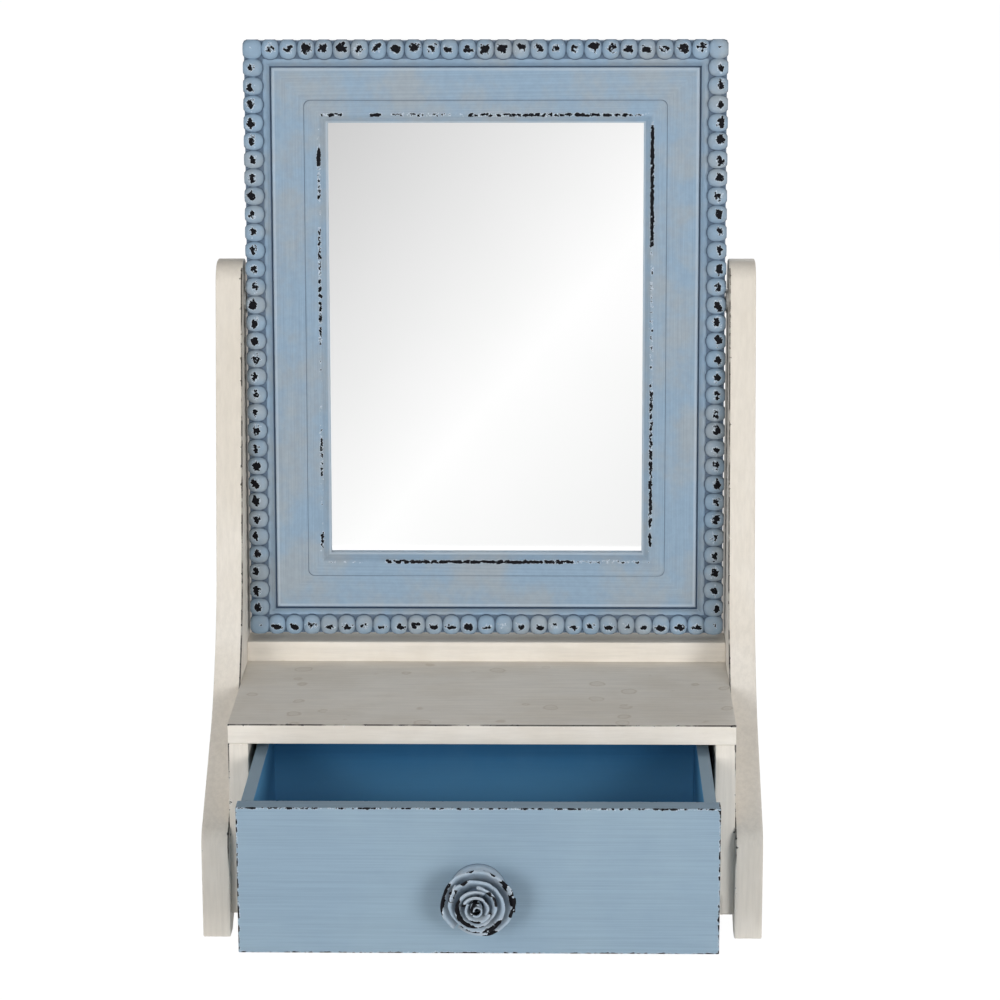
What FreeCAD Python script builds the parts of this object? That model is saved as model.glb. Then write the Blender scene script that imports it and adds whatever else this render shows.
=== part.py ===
import FreeCAD, Part
import Sketcher
import math
import os
import re
from FreeCAD import Placement, Rotation, Vector

# Swing mirror on a stand with one drawer.  Millimetres, +Z up, front towards -Y.
# Origin: centre of the footprint box on the floor, with the drawer partly open.
# The box stands between two sawn side panels whose tops are the mirror's posts.

# ---------------------------------------------------------------------------
# Driving dimensions
# ---------------------------------------------------------------------------
SIZES = {
    # stand
    "frame_play": (1.5, "gap between the mirror frame and each side panel"),
    "panel_thick": (15, "thickness of a side panel"),
    "stand_depth": (165, "box front to the back edge of the side panels"),
    "foot_lead": (7, "how far the front foot stands ahead of the box"),
    "nose_height": (57, "height where the foot turns into the sweep"),
    "knee_back": (92, "corner between sweep and post, from the box front"),
    "knee_height": (125, "height of that corner"),
    "head_back": (136, "front of the post at its top, from the box front"),
    "post_height": (347, "height of the posts"),
    "nose_radius": (12, "rounding of the foot's nose"),
    "sweep_radius": (120, "hollow between sweep and post"),
    "head_radius": (13, "rounding of the post's top"),
    "foot_front": (11, "length of the front foot on the floor"),
    "foot_rear": (14, "length of the rear foot on the floor"),
    "arch_rise": (10, "height of the arch between the feet"),
    "arch_run": (16, "length of the arch's sloping ends"),
    "arch_radius": (9, "rounding of the arch's upper corners"),
    # box
    "shelf_height": (119, "top of the box above the floor"),
    "board_thick": (11, "thickness of the box boards"),
    "box_lift": (11, "underside of the box above the floor"),
    "box_depth": (160, "depth of the box"),
    "back_thick": (6, "thickness of the box back"),
    "rebate_depth": (6, "rebate that takes the box back"),
    "shelf_round": (1.5, "rounding of the top board's front edges"),
    "rail_setback": (119.4, "box front to the front of the back rail"),
    "rail_thick": (21, "thickness of the back rail"),
    "rail_rise": (11.3, "height of the back rail"),
    "rail_round": (1.2, "rounding of the back rail's upper edges"),
    "guide_height": (12, "height of the strips that guide the drawer"),
    "guide_gap": (0.4, "running gap between strip and drawer side"),
    "stop_gap": (0.6, "gap between closed drawer front and strips"),
    "tongue_thick": (4, "thickness of the glued tongues in the top board"),
    "tongue_depth": (4, "how deep the tongues stand in the top board"),
    "tongue_stop": (12, "the tongues stop short of the boards' ends"),
    "bottom_housing": (5, "how far the bottom board lies in the box sides"),
    # wood screws of the stand
    "screw_radius": (1.8, "shank of a carcass screw"),
    "screw_length": (22, "length of a carcass screw"),
    "screw_head": (3.6, "head radius of a carcass screw"),
    "screw_sink": (2, "depth of its countersunk head"),
    "screw_margin": (28, "carcass screws from the box's ends"),
    "screw_level": (52, "height of the screws that hold the side panels"),
    "fit": (0.05, "clearance round a screw"),
    # pivots
    "pivot_back": (147.4, "pivot axis from the box front"),
    "pivot_height": (323.8, "pivot axis above the floor"),
    "pivot_rise": (191.1, "pivot axis above the mirror's bottom edge"),
    "pivot_inset": (11, "pivot axis behind the mirror's front plane"),
    "rest_lean": (4.5, "lean of the mirror at rest, in degrees"),
    "pivot_radius": (2.5, "pivot screw's shank"),
    "pivot_head": (5, "pivot screw's head radius"),
    "pivot_sink": (2.8, "depth of the pivot screw's head"),
    "pivot_reach": (13, "length of pivot screw inside the frame"),
    "pivot_hole": (15, "depth of the frame's pivot holes"),
    "washer_radius": (7, "radius of the friction washer"),
    "washer_thick": (1.2, "thickness of the friction washer"),
    # mirror frame
    "frame_width": (271, "width of the mirror frame"),
    "frame_height": (338, "height of the mirror frame"),
    "frame_thick": (18, "thickness of the mirror frame"),
    "bead_pitch": (10.1, "spacing of the beads, before it is evened out"),
    "bead_inset": (5, "bead centres from the frame's outer edge"),
    "bead_crown": (1.6, "half width of a bead's crown"),
    "bead_shoulder": (3.8, "half width of a bead at its shoulder"),
    "bead_fall": (0.9, "depth of the shoulder below the crown"),
    "bead_skirt": (2.4, "depth of the beads at the frame's outer edge"),
    "bead_rise": (3.4, "depth of the notches between the beads"),
    "cove_start": (10.9, "inner edge of the bead bed"),
    "crest_place": (14.8, "crest between cove and panel"),
    "crest_depth": (2.6, "depth of the crest"),
    "cove_radius": (4.2, "radius of the cove"),
    "panel_start": (15.4, "outer edge of the frame's flat panel"),
    "panel_sunk": (4.4, "depth of the flat panel"),
    "border_start": (33.5, "outer edge of the raised inner border"),
    "border_depth": (3.4, "depth of the inner border"),
    "arris_place": (42.6, "inner arris of the border"),
    "sight_place": (46.5, "sight edge of the glass"),
    "sight_depth": (8.6, "depth of the sight edge's front"),
    "rebate_place": (42, "outer wall of the glass rebate"),
    "glass_depth": (12, "depth of the glass's front face"),
    "glass_thick": (3, "thickness of the mirror glass"),
    "glass_gap": (0.5, "gap round glass and backing"),
    "backing_thick": (1.6, "thickness of the backing board"),
    "point_length": (13, "length of a framing point"),
    "point_width": (8, "width of a framing point"),
    "point_thick": (0.8, "thickness of a framing point"),
    "point_bite": (5, "how far a framing point is driven into the frame"),
    "point_share": (0.25, "framing points from the middle of a side, over its length"),
    # drawer
    "drawer_open": (87, "how far the drawer stands open at rest"),
    "drawer_length": (143, "drawer from front face to back"),
    "front_thick": (11.4, "thickness of the drawer front"),
    "front_height": (79.5, "height of the drawer front"),
    "front_gap": (1.3, "gap at each end of the drawer front"),
    "front_lift": (0.6, "gap under the drawer front"),
    "front_round": (1, "rounding of the drawer front's face edges"),
    "side_inset": (2.0, "drawer side in from the end of the front"),
    "side_thick": (6.3, "thickness of the drawer's sides and back"),
    "run_gap": (0.3, "gap under the drawer sides"),
    "housing": (5, "depth of the drawer sides' housings in the front"),
    "floor_up": (5, "drawer bottom above the sides' lower edges"),
    "floor_thick": (3, "thickness of the drawer bottom"),
    "floor_groove": (3, "depth of the groove for the drawer bottom"),
    "finger_count": (5, "fingers of each rear corner joint"),
    # rose knob
    "knob_drop": (5, "knob below the middle of the drawer front"),
    "rosette_radius": (14.7, "radius of the knob's base disc"),
    "rosette_thick": (4.5, "thickness of the base disc"),
    "rose_radius": (18.3, "radius over the outer petals"),
    "rose_height": (27, "height of the rose on its disc"),
    "petal_thick": (1.5, "thickness of a petal"),
    "knob_screw_radius": (2, "shank of the knob screw"),
    "knob_screw_bite": (12, "depth of the knob screw in the rose"),
    "knob_head_radius": (4.2, "head radius of the knob screw"),
    "knob_head_thick": (2.6, "head height of the knob screw"),
}

# Values worked out from the driving dimensions, as formulas.
DERIVED = {
    "inner_width": "frame_width + 2 * frame_play",
    "half_inner": "inner_width / 2",
    "opening_top": "shelf_height - board_thick",
    "opening_floor": "box_lift + board_thick",
    "opening_half": "inner_width / 2 - board_thick",
    "lean_back": "(frame_height - pivot_rise) * sin(rest_lean)"
                 " + (frame_thick - pivot_inset) * cos(rest_lean)",
    "rear_reach": "max(stand_depth; pivot_back + lean_back)",
    "knob_reach": "rosette_thick + rose_height",
    "front_y": "(drawer_open + knob_reach - rear_reach) / 2",
    "back_y": "front_y + box_depth - back_thick",
    "rail_y": "front_y + rail_setback",
    "front_half": "opening_half - front_gap",
    "side_outer": "front_half - side_inset",
    "side_inner": "side_outer - side_thick",
    "drawer_y": "front_y - drawer_open",
    "drawer_low": "opening_floor + run_gap",
    "drawer_high": "opening_floor + front_lift + front_height",
    "floor_z": "drawer_low + floor_up",
    "side_start": "front_thick - housing",
    "knob_z": "opening_floor + front_lift + front_height / 2 - knob_drop",
    "guide_thick": "opening_half - side_outer - guide_gap",
    "guide_start": "front_thick + stop_gap",
    "half_width": "frame_width / 2",
    "frame_top": "frame_height - pivot_rise",
    "frame_low": "-pivot_rise",
    "beads_across": "round(frame_width / bead_pitch)",
    "beads_down": "round(frame_height / bead_pitch)",
}

doc = FreeCAD.newDocument("vanity_mirror")
sheet = doc.addObject("Spreadsheet::Sheet", "sizes")
for row, (alias, (number, meaning)) in enumerate(SIZES.items(), start=1):
    sheet.set(f"A{row}", meaning)
    sheet.set(f"B{row}", str(number))
    sheet.setAlias(f"B{row}", alias)
doc.recompute()

WORD = re.compile(r"[a-z]+(?:_[a-z]+)*")
parts = {}


def formula(text):
    """Writes derived values out in full and names the sheet before each size."""
    def swap(match):
        word = match.group(0)
        if word in DERIVED:
            return "(" + formula(DERIVED[word]) + ")"
        return "sizes." + word if word in SIZES else word
    return WORD.sub(swap, text)


def size(text):
    """The number that a formula gives."""
    result = sheet.evalExpression(formula(text))
    return float(getattr(result, "Value", result))


def bind(item, prop, text):
    item.setExpression(prop, formula(text))


def place(item, x, y, z):
    for axis, text in zip("xyz", (x, y, z)):
        bind(item, "Placement.Base." + axis, text)


def keep(name, item):
    """Registers a finished sub-part under its node name."""
    item.Label = name
    parts[name] = item
    return item


# ---------------------------------------------------------------------------
# Drawing helpers
# ---------------------------------------------------------------------------
def new_body(name):
    return keep(name, doc.addObject("PartDesign::Body", name + "_body"))


def sketch(body, role, name, offset="0"):
    """An empty sketch on one of the body's own planes, moved along its normal."""
    drawing = body.newObject("Sketcher::SketchObject", f"{body.Name}_{name}")
    plane = [item for item in body.Origin.OriginFeatures if item.Role == role][0]
    drawing.AttachmentSupport = (plane, "")
    drawing.MapMode = "FlatFace"
    bind(drawing, "AttachmentOffset.Base.z", offset)
    return drawing


def pin_point(drawing, edge, end, x, y):
    """Fixes one end of an edge at formulas x, y from the sketch's origin."""
    for kind, text in (("DistanceX", x), ("DistanceY", y)):
        number = drawing.addConstraint(Sketcher.Constraint(kind, -1, 1, edge, end, size(text)))
        bind(drawing, f"Constraints[{number}]", text)


def outline(drawing, corners):
    """A closed outline through (x, y) formulas; a third formula makes the edge that
    arrives there an arc of that radius, hollow towards the left of its course."""
    points = [Vector(size(corner[0]), size(corner[1]), 0) for corner in corners]
    for number, corner in enumerate(corners):
        start = points[number - 1]
        finish = points[number]
        if len(corner) == 2:
            edge = drawing.addGeometry(Part.LineSegment(start, finish))
            first = 1
        else:
            radius = size(corner[2])
            chord = finish - start
            left = Vector(-chord.y, chord.x, 0).normalize()
            sag = abs(radius) - math.sqrt(radius ** 2 - (chord.Length / 2) ** 2)
            middle = (start + finish) / 2 - left * math.copysign(sag, radius)
            edge = drawing.addGeometry(Part.Arc(start, middle, finish))
            first = 1 if (drawing.getPoint(edge, 1) - start).Length < 1e-6 else 2
            ring = drawing.addConstraint(Sketcher.Constraint("Radius", edge, abs(radius)))
            bind(drawing, f"Constraints[{ring}]", f"abs({corner[2]})")
        pin_point(drawing, edge, first, *corners[number - 1][:2])
        pin_point(drawing, edge, 3 - first, *corner[:2])


def pad(body, drawing, length, name="pad"):
    solid = body.newObject("PartDesign::Pad", f"{body.Name}_{name}")
    solid.Profile = drawing
    bind(solid, "Length", length)
    return solid


def pocket(body, drawing, name):
    """Cuts the drawing through the whole body, both ways."""
    cut = body.newObject("PartDesign::Pocket", f"{body.Name}_{name}")
    cut.Profile = drawing
    cut.Type = "ThroughAll"
    cut.Midplane = True
    return cut


def primitive(body, kind, name, sizes, x, y, z, turn=None):
    """A PartDesign primitive with bound sizes, placed inside its body."""
    item = body.newObject("PartDesign::" + kind, f"{body.Name}_{name}")
    if turn:
        item.Placement = Placement(Vector(), turn)
    for prop, text in sizes.items():
        bind(item, prop, text)
    place(item, x, y, z)
    return item


def round_edges(body, base, radius, name, test):
    """Rounds the straight edges of a feature whose middle point passes the test."""
    doc.recompute()
    chosen = [f"Edge{number}" for number, edge in enumerate(base.Shape.Edges, start=1)
              if test(edge)]
    rounding = body.newObject("PartDesign::Fillet", f"{body.Name}_{name}")
    rounding.Base = (base, chosen)
    bind(rounding, "Radius", radius)
    return rounding


def board(name, x, y, z, length, width, height):
    """A plain board: corner at x, y, z and its three sizes, as a body."""
    body = new_body(name)
    primitive(body, "AdditiveBox", "board",
              {"Length": length, "Width": width, "Height": height}, x, y, z)
    return body


ALONG_X = Rotation(Vector(0, 1, 0), 90)
AGAINST_X = Rotation(Vector(0, 1, 0), -90)
UPRIGHT = Rotation()
TOWARDS_FRONT = Rotation(Vector(1, 0, 0), 90)
TOWARDS_BACK = Rotation(Vector(1, 0, 0), -90)


# ---------------------------------------------------------------------------
# Part helpers
# ---------------------------------------------------------------------------
def solid(kind, sizes, x, y, z, turn=None):
    """A Part primitive with bound sizes and place."""
    item = doc.addObject("Part::" + kind, kind.lower())
    item.Placement = Placement(Vector(), turn or UPRIGHT)
    for prop, text in sizes.items():
        bind(item, prop, text)
    place(item, x, y, z)
    return item


def rod(radius, length, x, y, z, turn=None):
    return solid("Cylinder", {"Radius": radius, "Height": length}, x, y, z, turn)


def fused(items, name):
    union = doc.addObject("Part::MultiFuse", name)
    union.Shapes = items
    return union


def less(base, tool, name):
    difference = doc.addObject("Part::Cut", name)
    difference.Base = base
    difference.Tool = tool
    return difference


def group(items, name):
    cluster = doc.addObject("Part::Compound", name)
    cluster.Links = items
    return keep(name, cluster)


def countersunk(x, y, z, turn, radius, length, head, sink):
    """A screw whose flat head lies at x, y, z and whose shank runs along the turned Z."""
    cone = solid("Cone", {"Radius1": head, "Radius2": radius, "Height": sink}, x, y, z, turn)
    return fused([cone, rod(radius, length, x, y, z, turn)], "screw")


def sunk_hole(body, name, x, y, z, turn, radius, length, head, sink):
    """The hole that a countersunk screw needs, with its clearance."""
    bore = {"Radius": f"{radius} + fit", "Height": length}
    primitive(body, "SubtractiveCylinder", name + "_bore", bore, x, y, z, turn)
    cone = {"Radius1": f"{head} + fit", "Radius2": f"{radius} + fit", "Height": sink}
    return primitive(body, "SubtractiveCone", name + "_sink", cone, x, y, z, turn)


def lean(item):
    """Hangs a mirror piece, drawn upright about the pivot axis, at its rest lean."""
    item.Placement = Placement(Vector(), Rotation(Vector(-1, 0, 0), 5))
    bind(item, "Placement.Base.y", "front_y + pivot_back")
    bind(item, "Placement.Base.z", "pivot_height")
    bind(item, "Placement.Rotation.Angle", "rest_lean")
    return item


def at(y, z):
    """A test for the edges along X at y, z."""
    def test(edge):
        middle = edge.CenterOfMass
        return abs(middle.y - size(y)) < 0.01 and abs(middle.z - size(z)) < 0.01
    return test


# ---------------------------------------------------------------------------
# Stand: side panels
# ---------------------------------------------------------------------------
SIDES = {"left": -1, "right": 1}
OUTWARD = {-1: AGAINST_X, 1: ALONG_X}
INWARD = {-1: ALONG_X, 1: AGAINST_X}

PANEL_SCREWS = ["front_y + screw_margin", "front_y + box_depth - screw_margin"]


def side_panel(name, side):
    """Sawn side: bracket feet, swept front and a leaning post with a round head."""
    body = new_body(name)
    inner = "half_inner" if side > 0 else "-half_inner - panel_thick"
    toe = "front_y - foot_lead"
    heel = "front_y + stand_depth"
    profile = sketch(body, "YZ_Plane", "profile", inner)
    outline(profile, [
        (toe, "0"),
        (toe, "nose_height"),
        ("front_y + knee_back", "knee_height"),
        ("front_y + head_back", "post_height"),
        (heel, "post_height"),
        (heel, "0"),
        (heel + " - foot_rear", "0"),
        (heel + " - foot_rear - arch_run", "arch_rise"),
        (toe + " + foot_front + arch_run", "arch_rise"),
        (toe + " + foot_front", "0"),
    ])
    shape = pad(body, profile, "panel_thick")
    shape = round_edges(body, shape, "nose_radius", "nose", at(toe, "nose_height"))
    shape = round_edges(body, shape, "sweep_radius", "sweep",
                        at("front_y + knee_back", "knee_height"))
    head_front = at("front_y + head_back", "post_height")
    head_rear = at(heel, "post_height")
    shape = round_edges(body, shape, "head_radius", "head",
                        lambda edge: head_front(edge) or head_rear(edge))
    arch_front = at(toe + " + foot_front + arch_run", "arch_rise")
    arch_rear = at(heel + " - foot_rear - arch_run", "arch_rise")
    round_edges(body, shape, "arch_radius", "arch",
                lambda edge: arch_front(edge) or arch_rear(edge))
    outer = f"{side} * (half_inner + panel_thick)"
    sunk_hole(body, "pivot", outer, "front_y + pivot_back", "pivot_height", INWARD[side],
              "pivot_radius", "panel_thick", "pivot_head", "pivot_sink")
    for number, y in enumerate(PANEL_SCREWS):
        bite = {"Radius": "screw_radius + fit", "Height": "screw_length - board_thick"}
        primitive(body, "SubtractiveCylinder", f"pilot_{number}", bite,
                  f"{side} * half_inner", y, "screw_level", OUTWARD[side])
    return body


for word, side in SIDES.items():
    side_panel(f"side_panel_{word}", side)


# ---------------------------------------------------------------------------
# Stand: box
# ---------------------------------------------------------------------------
TONGUE_START = "front_y + tongue_stop"
TONGUE_RUN = "box_depth - 2 * tongue_stop"
RAIL_TONGUE = {"Length": "inner_width - 2 * tongue_stop", "Width": "tongue_thick",
               "Height": "tongue_depth"}
RAIL_TONGUE_CORNER = ("tongue_stop - half_inner", "rail_y + (rail_thick - tongue_thick) / 2",
                      "shelf_height - tongue_depth")


def side_tongue(body, kind, side):
    """The tongue along a box side's upper edge, added to the side or cut from the top."""
    primitive(body, kind, f"tongue_{'right' if side > 0 else 'left'}",
              {"Length": "tongue_thick", "Width": TONGUE_RUN, "Height": "tongue_depth"},
              f"{side} * (opening_half + board_thick / 2) - tongue_thick / 2",
              TONGUE_START, "opening_top")


def box_top():
    """Top board, with its front edge rounded and grooves for the sides and the rail."""
    body = new_body("box_top")
    slab = primitive(body, "AdditiveBox", "board",
                     {"Length": "inner_width", "Width": "box_depth", "Height": "board_thick"},
                     "-half_inner", "front_y", "opening_top")
    upper = at("front_y", "shelf_height")
    lower = at("front_y", "opening_top")
    round_edges(body, slab, "shelf_round", "edge", lambda edge: upper(edge) or lower(edge))
    for side in SIDES.values():
        side_tongue(body, "SubtractiveBox", side)
    primitive(body, "SubtractiveBox", "rail_groove", RAIL_TONGUE, *RAIL_TONGUE_CORNER)


def box_side(name, side):
    """Box side: tongued above, housed for the bottom board, rebated for the back."""
    body = new_body(name)
    left = "opening_half" if side > 0 else "-half_inner"
    primitive(body, "AdditiveBox", "board",
              {"Length": "board_thick", "Width": "box_depth",
               "Height": "opening_top - box_lift"},
              left, "front_y", "box_lift")
    side_tongue(body, "AdditiveBox", side)
    rebate = "opening_half" if side > 0 else "-opening_half - rebate_depth"
    primitive(body, "SubtractiveBox", "rebate",
              {"Length": "rebate_depth", "Width": "back_thick",
               "Height": "opening_top - box_lift"},
              rebate, "back_y", "box_lift")
    housing = "opening_half" if side > 0 else "-opening_half - bottom_housing"
    primitive(body, "SubtractiveBox", "housing",
              {"Length": "bottom_housing", "Width": "box_depth - back_thick",
               "Height": "board_thick"},
              housing, "front_y", "box_lift")
    for number, y in enumerate(PANEL_SCREWS):
        sunk_hole(body, f"panel_screw_{number}", f"{side} * opening_half", y, "screw_level",
                  OUTWARD[side], "screw_radius", "board_thick", "screw_head", "screw_sink")


def back_rail():
    """Low rail tongued into the top board, behind which the mirror hangs."""
    body = new_body("back_rail")
    slab = primitive(body, "AdditiveBox", "board",
                     {"Length": "inner_width", "Width": "rail_thick", "Height": "rail_rise"},
                     "-half_inner", "rail_y", "shelf_height")
    front = at("rail_y", "shelf_height + rail_rise")
    rear = at("rail_y + rail_thick", "shelf_height + rail_rise")
    round_edges(body, slab, "rail_round", "edge", lambda edge: front(edge) or rear(edge))
    primitive(body, "AdditiveBox", "tongue", RAIL_TONGUE, *RAIL_TONGUE_CORNER)


def drawer_guide(name, side):
    """Strip that fills the gap beside the drawer and stops its front flush."""
    inner = "opening_half - guide_thick" if side > 0 else "-opening_half"
    board(name, inner, "front_y + guide_start", "opening_floor",
          "guide_thick", "box_depth - back_thick - guide_start", "guide_height")


box_top()
back_rail()
board("box_bottom", "-opening_half - bottom_housing", "front_y", "box_lift",
      "2 * (opening_half + bottom_housing)", "box_depth - back_thick", "board_thick")
board("box_back", "-opening_half - rebate_depth", "back_y", "box_lift",
      "2 * (opening_half + rebate_depth)", "back_thick", "opening_top - box_lift")
for word, side in SIDES.items():
    box_side(f"box_side_{word}", side)
    drawer_guide(f"drawer_guide_{word}", side)


# ---------------------------------------------------------------------------
# Stand: screws and pivots
# ---------------------------------------------------------------------------
group([countersunk(f"{side} * opening_half", y, "screw_level", OUTWARD[side],
                   "screw_radius", "screw_length", "screw_head", "screw_sink")
       for side in SIDES.values() for y in PANEL_SCREWS], "carcass_screws")

PIVOT = ("front_y + pivot_back", "pivot_height")
PIVOT_LENGTH = "half_inner + panel_thick - half_width + pivot_reach"
group([countersunk(f"{side} * (half_inner + panel_thick)", *PIVOT, INWARD[side],
                   "pivot_radius", PIVOT_LENGTH, "pivot_head", "pivot_sink")
       for side in SIDES.values()], "pivot_screws")

group([less(rod("washer_radius", "washer_thick", f"{side} * half_inner", *PIVOT, INWARD[side]),
            rod("pivot_radius + fit", "washer_thick", f"{side} * half_inner", *PIVOT,
                INWARD[side]), "washer")
       for side in SIDES.values()], "pivot_washers")


# ---------------------------------------------------------------------------
# Mirror: moulded, beaded and mitred frame
# ---------------------------------------------------------------------------
# The moulding from its rear outer corner round to the rebate: distance in from the
# outer edge, depth behind the front, and the radius of a hollow edge.
MOULDING = [
    ("0", "frame_thick"),
    ("0", "bead_skirt"),
    ("bead_inset - bead_shoulder", "bead_fall"),
    ("bead_inset - bead_crown", "0"),
    ("bead_inset + bead_crown", "0"),
    ("bead_inset + bead_shoulder", "bead_fall"),
    ("cove_start", "bead_rise"),
    ("crest_place", "crest_depth", "cove_radius"),
    ("panel_start", "panel_sunk"),
    ("border_start", "panel_sunk"),
    ("border_start + panel_sunk - border_depth", "border_depth"),
    ("arris_place", "border_depth"),
    ("sight_place", "sight_depth"),
    ("sight_place", "glass_depth"),
    ("rebate_place", "glass_depth"),
    ("rebate_place", "frame_thick"),
]


def bead_row(body, plane, edge, end, low, length, count):
    """Notches that part the edge's round into beads: one V, repeated along the row.
    plane is the row's own plane at the frame's outer edge, end the side it is on."""
    span = f"({length} - 2 * bead_inset)"
    step = f"({span} / ({count} - 1))"
    first = f"({low} + bead_inset + {step} / 2)"
    wide = f"({step} / 2 - bead_crown)"
    corners = [(f"{first} - {wide}", "-pivot_inset"), (first, "bead_rise - pivot_inset"),
               (f"{first} + {wide}", "-pivot_inset")]
    axis = "H_Axis"
    if plane == "YZ_Plane":
        corners = [(v, u) for u, v in corners]
        axis = "V_Axis"
    drawing = sketch(body, plane, "notch", edge)
    outline(drawing, corners)
    notch = body.newObject("PartDesign::Pocket", f"{body.Name}_notch_cut")
    notch.Profile = drawing
    bind(notch, "Length", "cove_start")
    notch.Reversed = end < 0
    row = body.newObject("PartDesign::LinearPattern", f"{body.Name}_bead_row")
    row.Originals = [notch]
    row.Direction = (drawing, [axis])
    bind(row, "Length", f"{span} - {step}")
    bind(row, "Occurrences", f"{count} - 1")
    body.Tip = row


def mitre(body, corner_x, corner_z, keep_upright):
    """Cuts one end at 45 degrees; keep_upright says which side of the mitre stays."""
    drawing = sketch(body, "XZ_Plane", f"mitre_{'r' if corner_x > 0 else 'l'}"
                                       f"{'t' if corner_z > 0 else 'b'}")
    level = "frame_top" if corner_z > 0 else "frame_low"
    over = "bead_inset"
    deep = "(sight_place + bead_inset)"
    edge_x = f"{corner_x} * (half_width + {over})"
    deep_x = f"{corner_x} * (half_width - {deep})"
    edge_z = f"{level} + {corner_z} * {over}"
    deep_z = f"{level} - {corner_z} * {deep}"
    third = (deep_x, edge_z) if keep_upright else (edge_x, deep_z)
    outline(drawing, [(edge_x, edge_z), (deep_x, deep_z), third])
    pocket(body, drawing, drawing.Name + "_cut")


POINT_DEPTH = "glass_depth + glass_thick + backing_thick - pivot_inset"


def point_box(edge, end, middle, upright):
    """Sizes and corner of a framing point driven into the rebate's wall."""
    tip = f"{edge} - {end} * (rebate_place - point_bite)"
    start = tip if end < 0 else f"{tip} - point_length"
    side = f"{middle} - point_width / 2"
    if upright:
        return ({"Length": "point_length", "Width": "point_thick", "Height": "point_width"},
                start, POINT_DEPTH, side)
    return ({"Length": "point_width", "Width": "point_thick", "Height": "point_length"},
            side, POINT_DEPTH, start)


def rail_points(end):
    edge = "frame_top" if end > 0 else "frame_low"
    return [point_box(edge, end, f"{side} * frame_width * point_share", False)
            for side in SIDES.values()]


def stile_points(side):
    middle = "(frame_top + frame_low) / 2"
    return [point_box(f"{side} * half_width", side,
                      f"{middle} + {end} * frame_height * point_share", True)
            for end in (-1, 1)]


def point_slots(body, points):
    for number, (sizes, *corner) in enumerate(points):
        primitive(body, "SubtractiveBox", f"slot_{number}", sizes, *corner)


def frame_rail(name, end):
    """Top or bottom length of the frame."""
    body = new_body(name)
    edge = "frame_top" if end > 0 else "frame_low"
    section = sketch(body, "YZ_Plane", "section", "-half_width")
    outline(section, [(f"{depth} - pivot_inset", f"{edge} - {end} * ({inward})",
                       *[f"{-end} * {radius}" for radius in hollow])
                      for inward, depth, *hollow in MOULDING])
    pad(body, section, "frame_width")
    bead_row(body, "XY_Plane", edge, end, "-half_width", "frame_width", "beads_across")
    for side in SIDES.values():
        mitre(body, side, end, False)
    point_slots(body, rail_points(end))
    return lean(body)


def frame_stile(name, side):
    """Left or right length of the frame, with the hole for its pivot screw."""
    body = new_body(name)
    section = sketch(body, "XY_Plane", "section", "frame_low")
    outline(section, [(f"{side} * (half_width - ({inward}))", f"{depth} - pivot_inset",
                       *[f"{side} * {radius}" for radius in hollow])
                      for inward, depth, *hollow in MOULDING])
    pad(body, section, "frame_height")
    bead_row(body, "YZ_Plane", f"{side} * half_width", side, "frame_low", "frame_height",
             "beads_down")
    for end in (-1, 1):
        mitre(body, side, end, True)
    primitive(body, "SubtractiveCylinder", "pivot_hole",
              {"Radius": "pivot_radius + fit", "Height": "pivot_hole"},
              f"{side} * half_width", "0", "0", INWARD[side])
    point_slots(body, stile_points(side))
    return lean(body)


frame_rail("frame_rail_top", 1)
frame_rail("frame_rail_bottom", -1)
for word, side in SIDES.items():
    frame_stile(f"frame_stile_{word}", side)

# Glass and backing lie in the rebate, each a little smaller than it.
PANE = "(rebate_place + glass_gap)"
for name, depth, thick in (("mirror_glass", "glass_depth", "glass_thick"),
                           ("backing_board", "glass_depth + glass_thick", "backing_thick")):
    lean(board(name, f"{PANE} - half_width", f"{depth} - pivot_inset", f"frame_low + {PANE}",
               f"frame_width - 2 * {PANE}", thick, f"frame_height - 2 * {PANE}"))

# Flat steel points driven into the rebate's walls hold the backing in.
points = [point for end in (1, -1) for point in rail_points(end)]
points += [point for side in SIDES.values() for point in stile_points(side)]
lean(group([solid("Box", *point) for point in points], "framing_points"))


# ---------------------------------------------------------------------------
# Drawer
# ---------------------------------------------------------------------------
FINGER = "((drawer_high - drawer_low) / finger_count)"
REAR_CORNER = "drawer_y + drawer_length - side_thick"


def drawer_front():
    """Front board: softened face, housings for the sides, groove and knob hole."""
    body = new_body("drawer_front")
    low = "opening_floor + front_lift"
    slab = primitive(body, "AdditiveBox", "board",
                     {"Length": "2 * front_half", "Width": "front_thick",
                      "Height": "front_height"},
                     "-front_half", "drawer_y", low)
    round_edges(body, slab, "front_round", "edge",
                lambda edge: abs(edge.CenterOfMass.y - size("drawer_y")) < 0.01)
    for word, side in SIDES.items():
        left = "side_inner" if side > 0 else "-side_outer"
        primitive(body, "SubtractiveBox", "housing_" + word,
                  {"Length": "side_thick", "Width": "housing",
                   "Height": "front_height - housing"},
                  left, "drawer_y + side_start", low)
    primitive(body, "SubtractiveBox", "groove",
              {"Length": "2 * side_inner", "Width": "floor_groove", "Height": "floor_thick"},
              "-side_inner", "drawer_y + front_thick - floor_groove", "floor_z")
    primitive(body, "SubtractiveCylinder", "knob_hole",
              {"Radius": "knob_screw_radius + fit", "Height": "front_thick"},
              "0", "drawer_y", "knob_z", TOWARDS_BACK)


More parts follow.
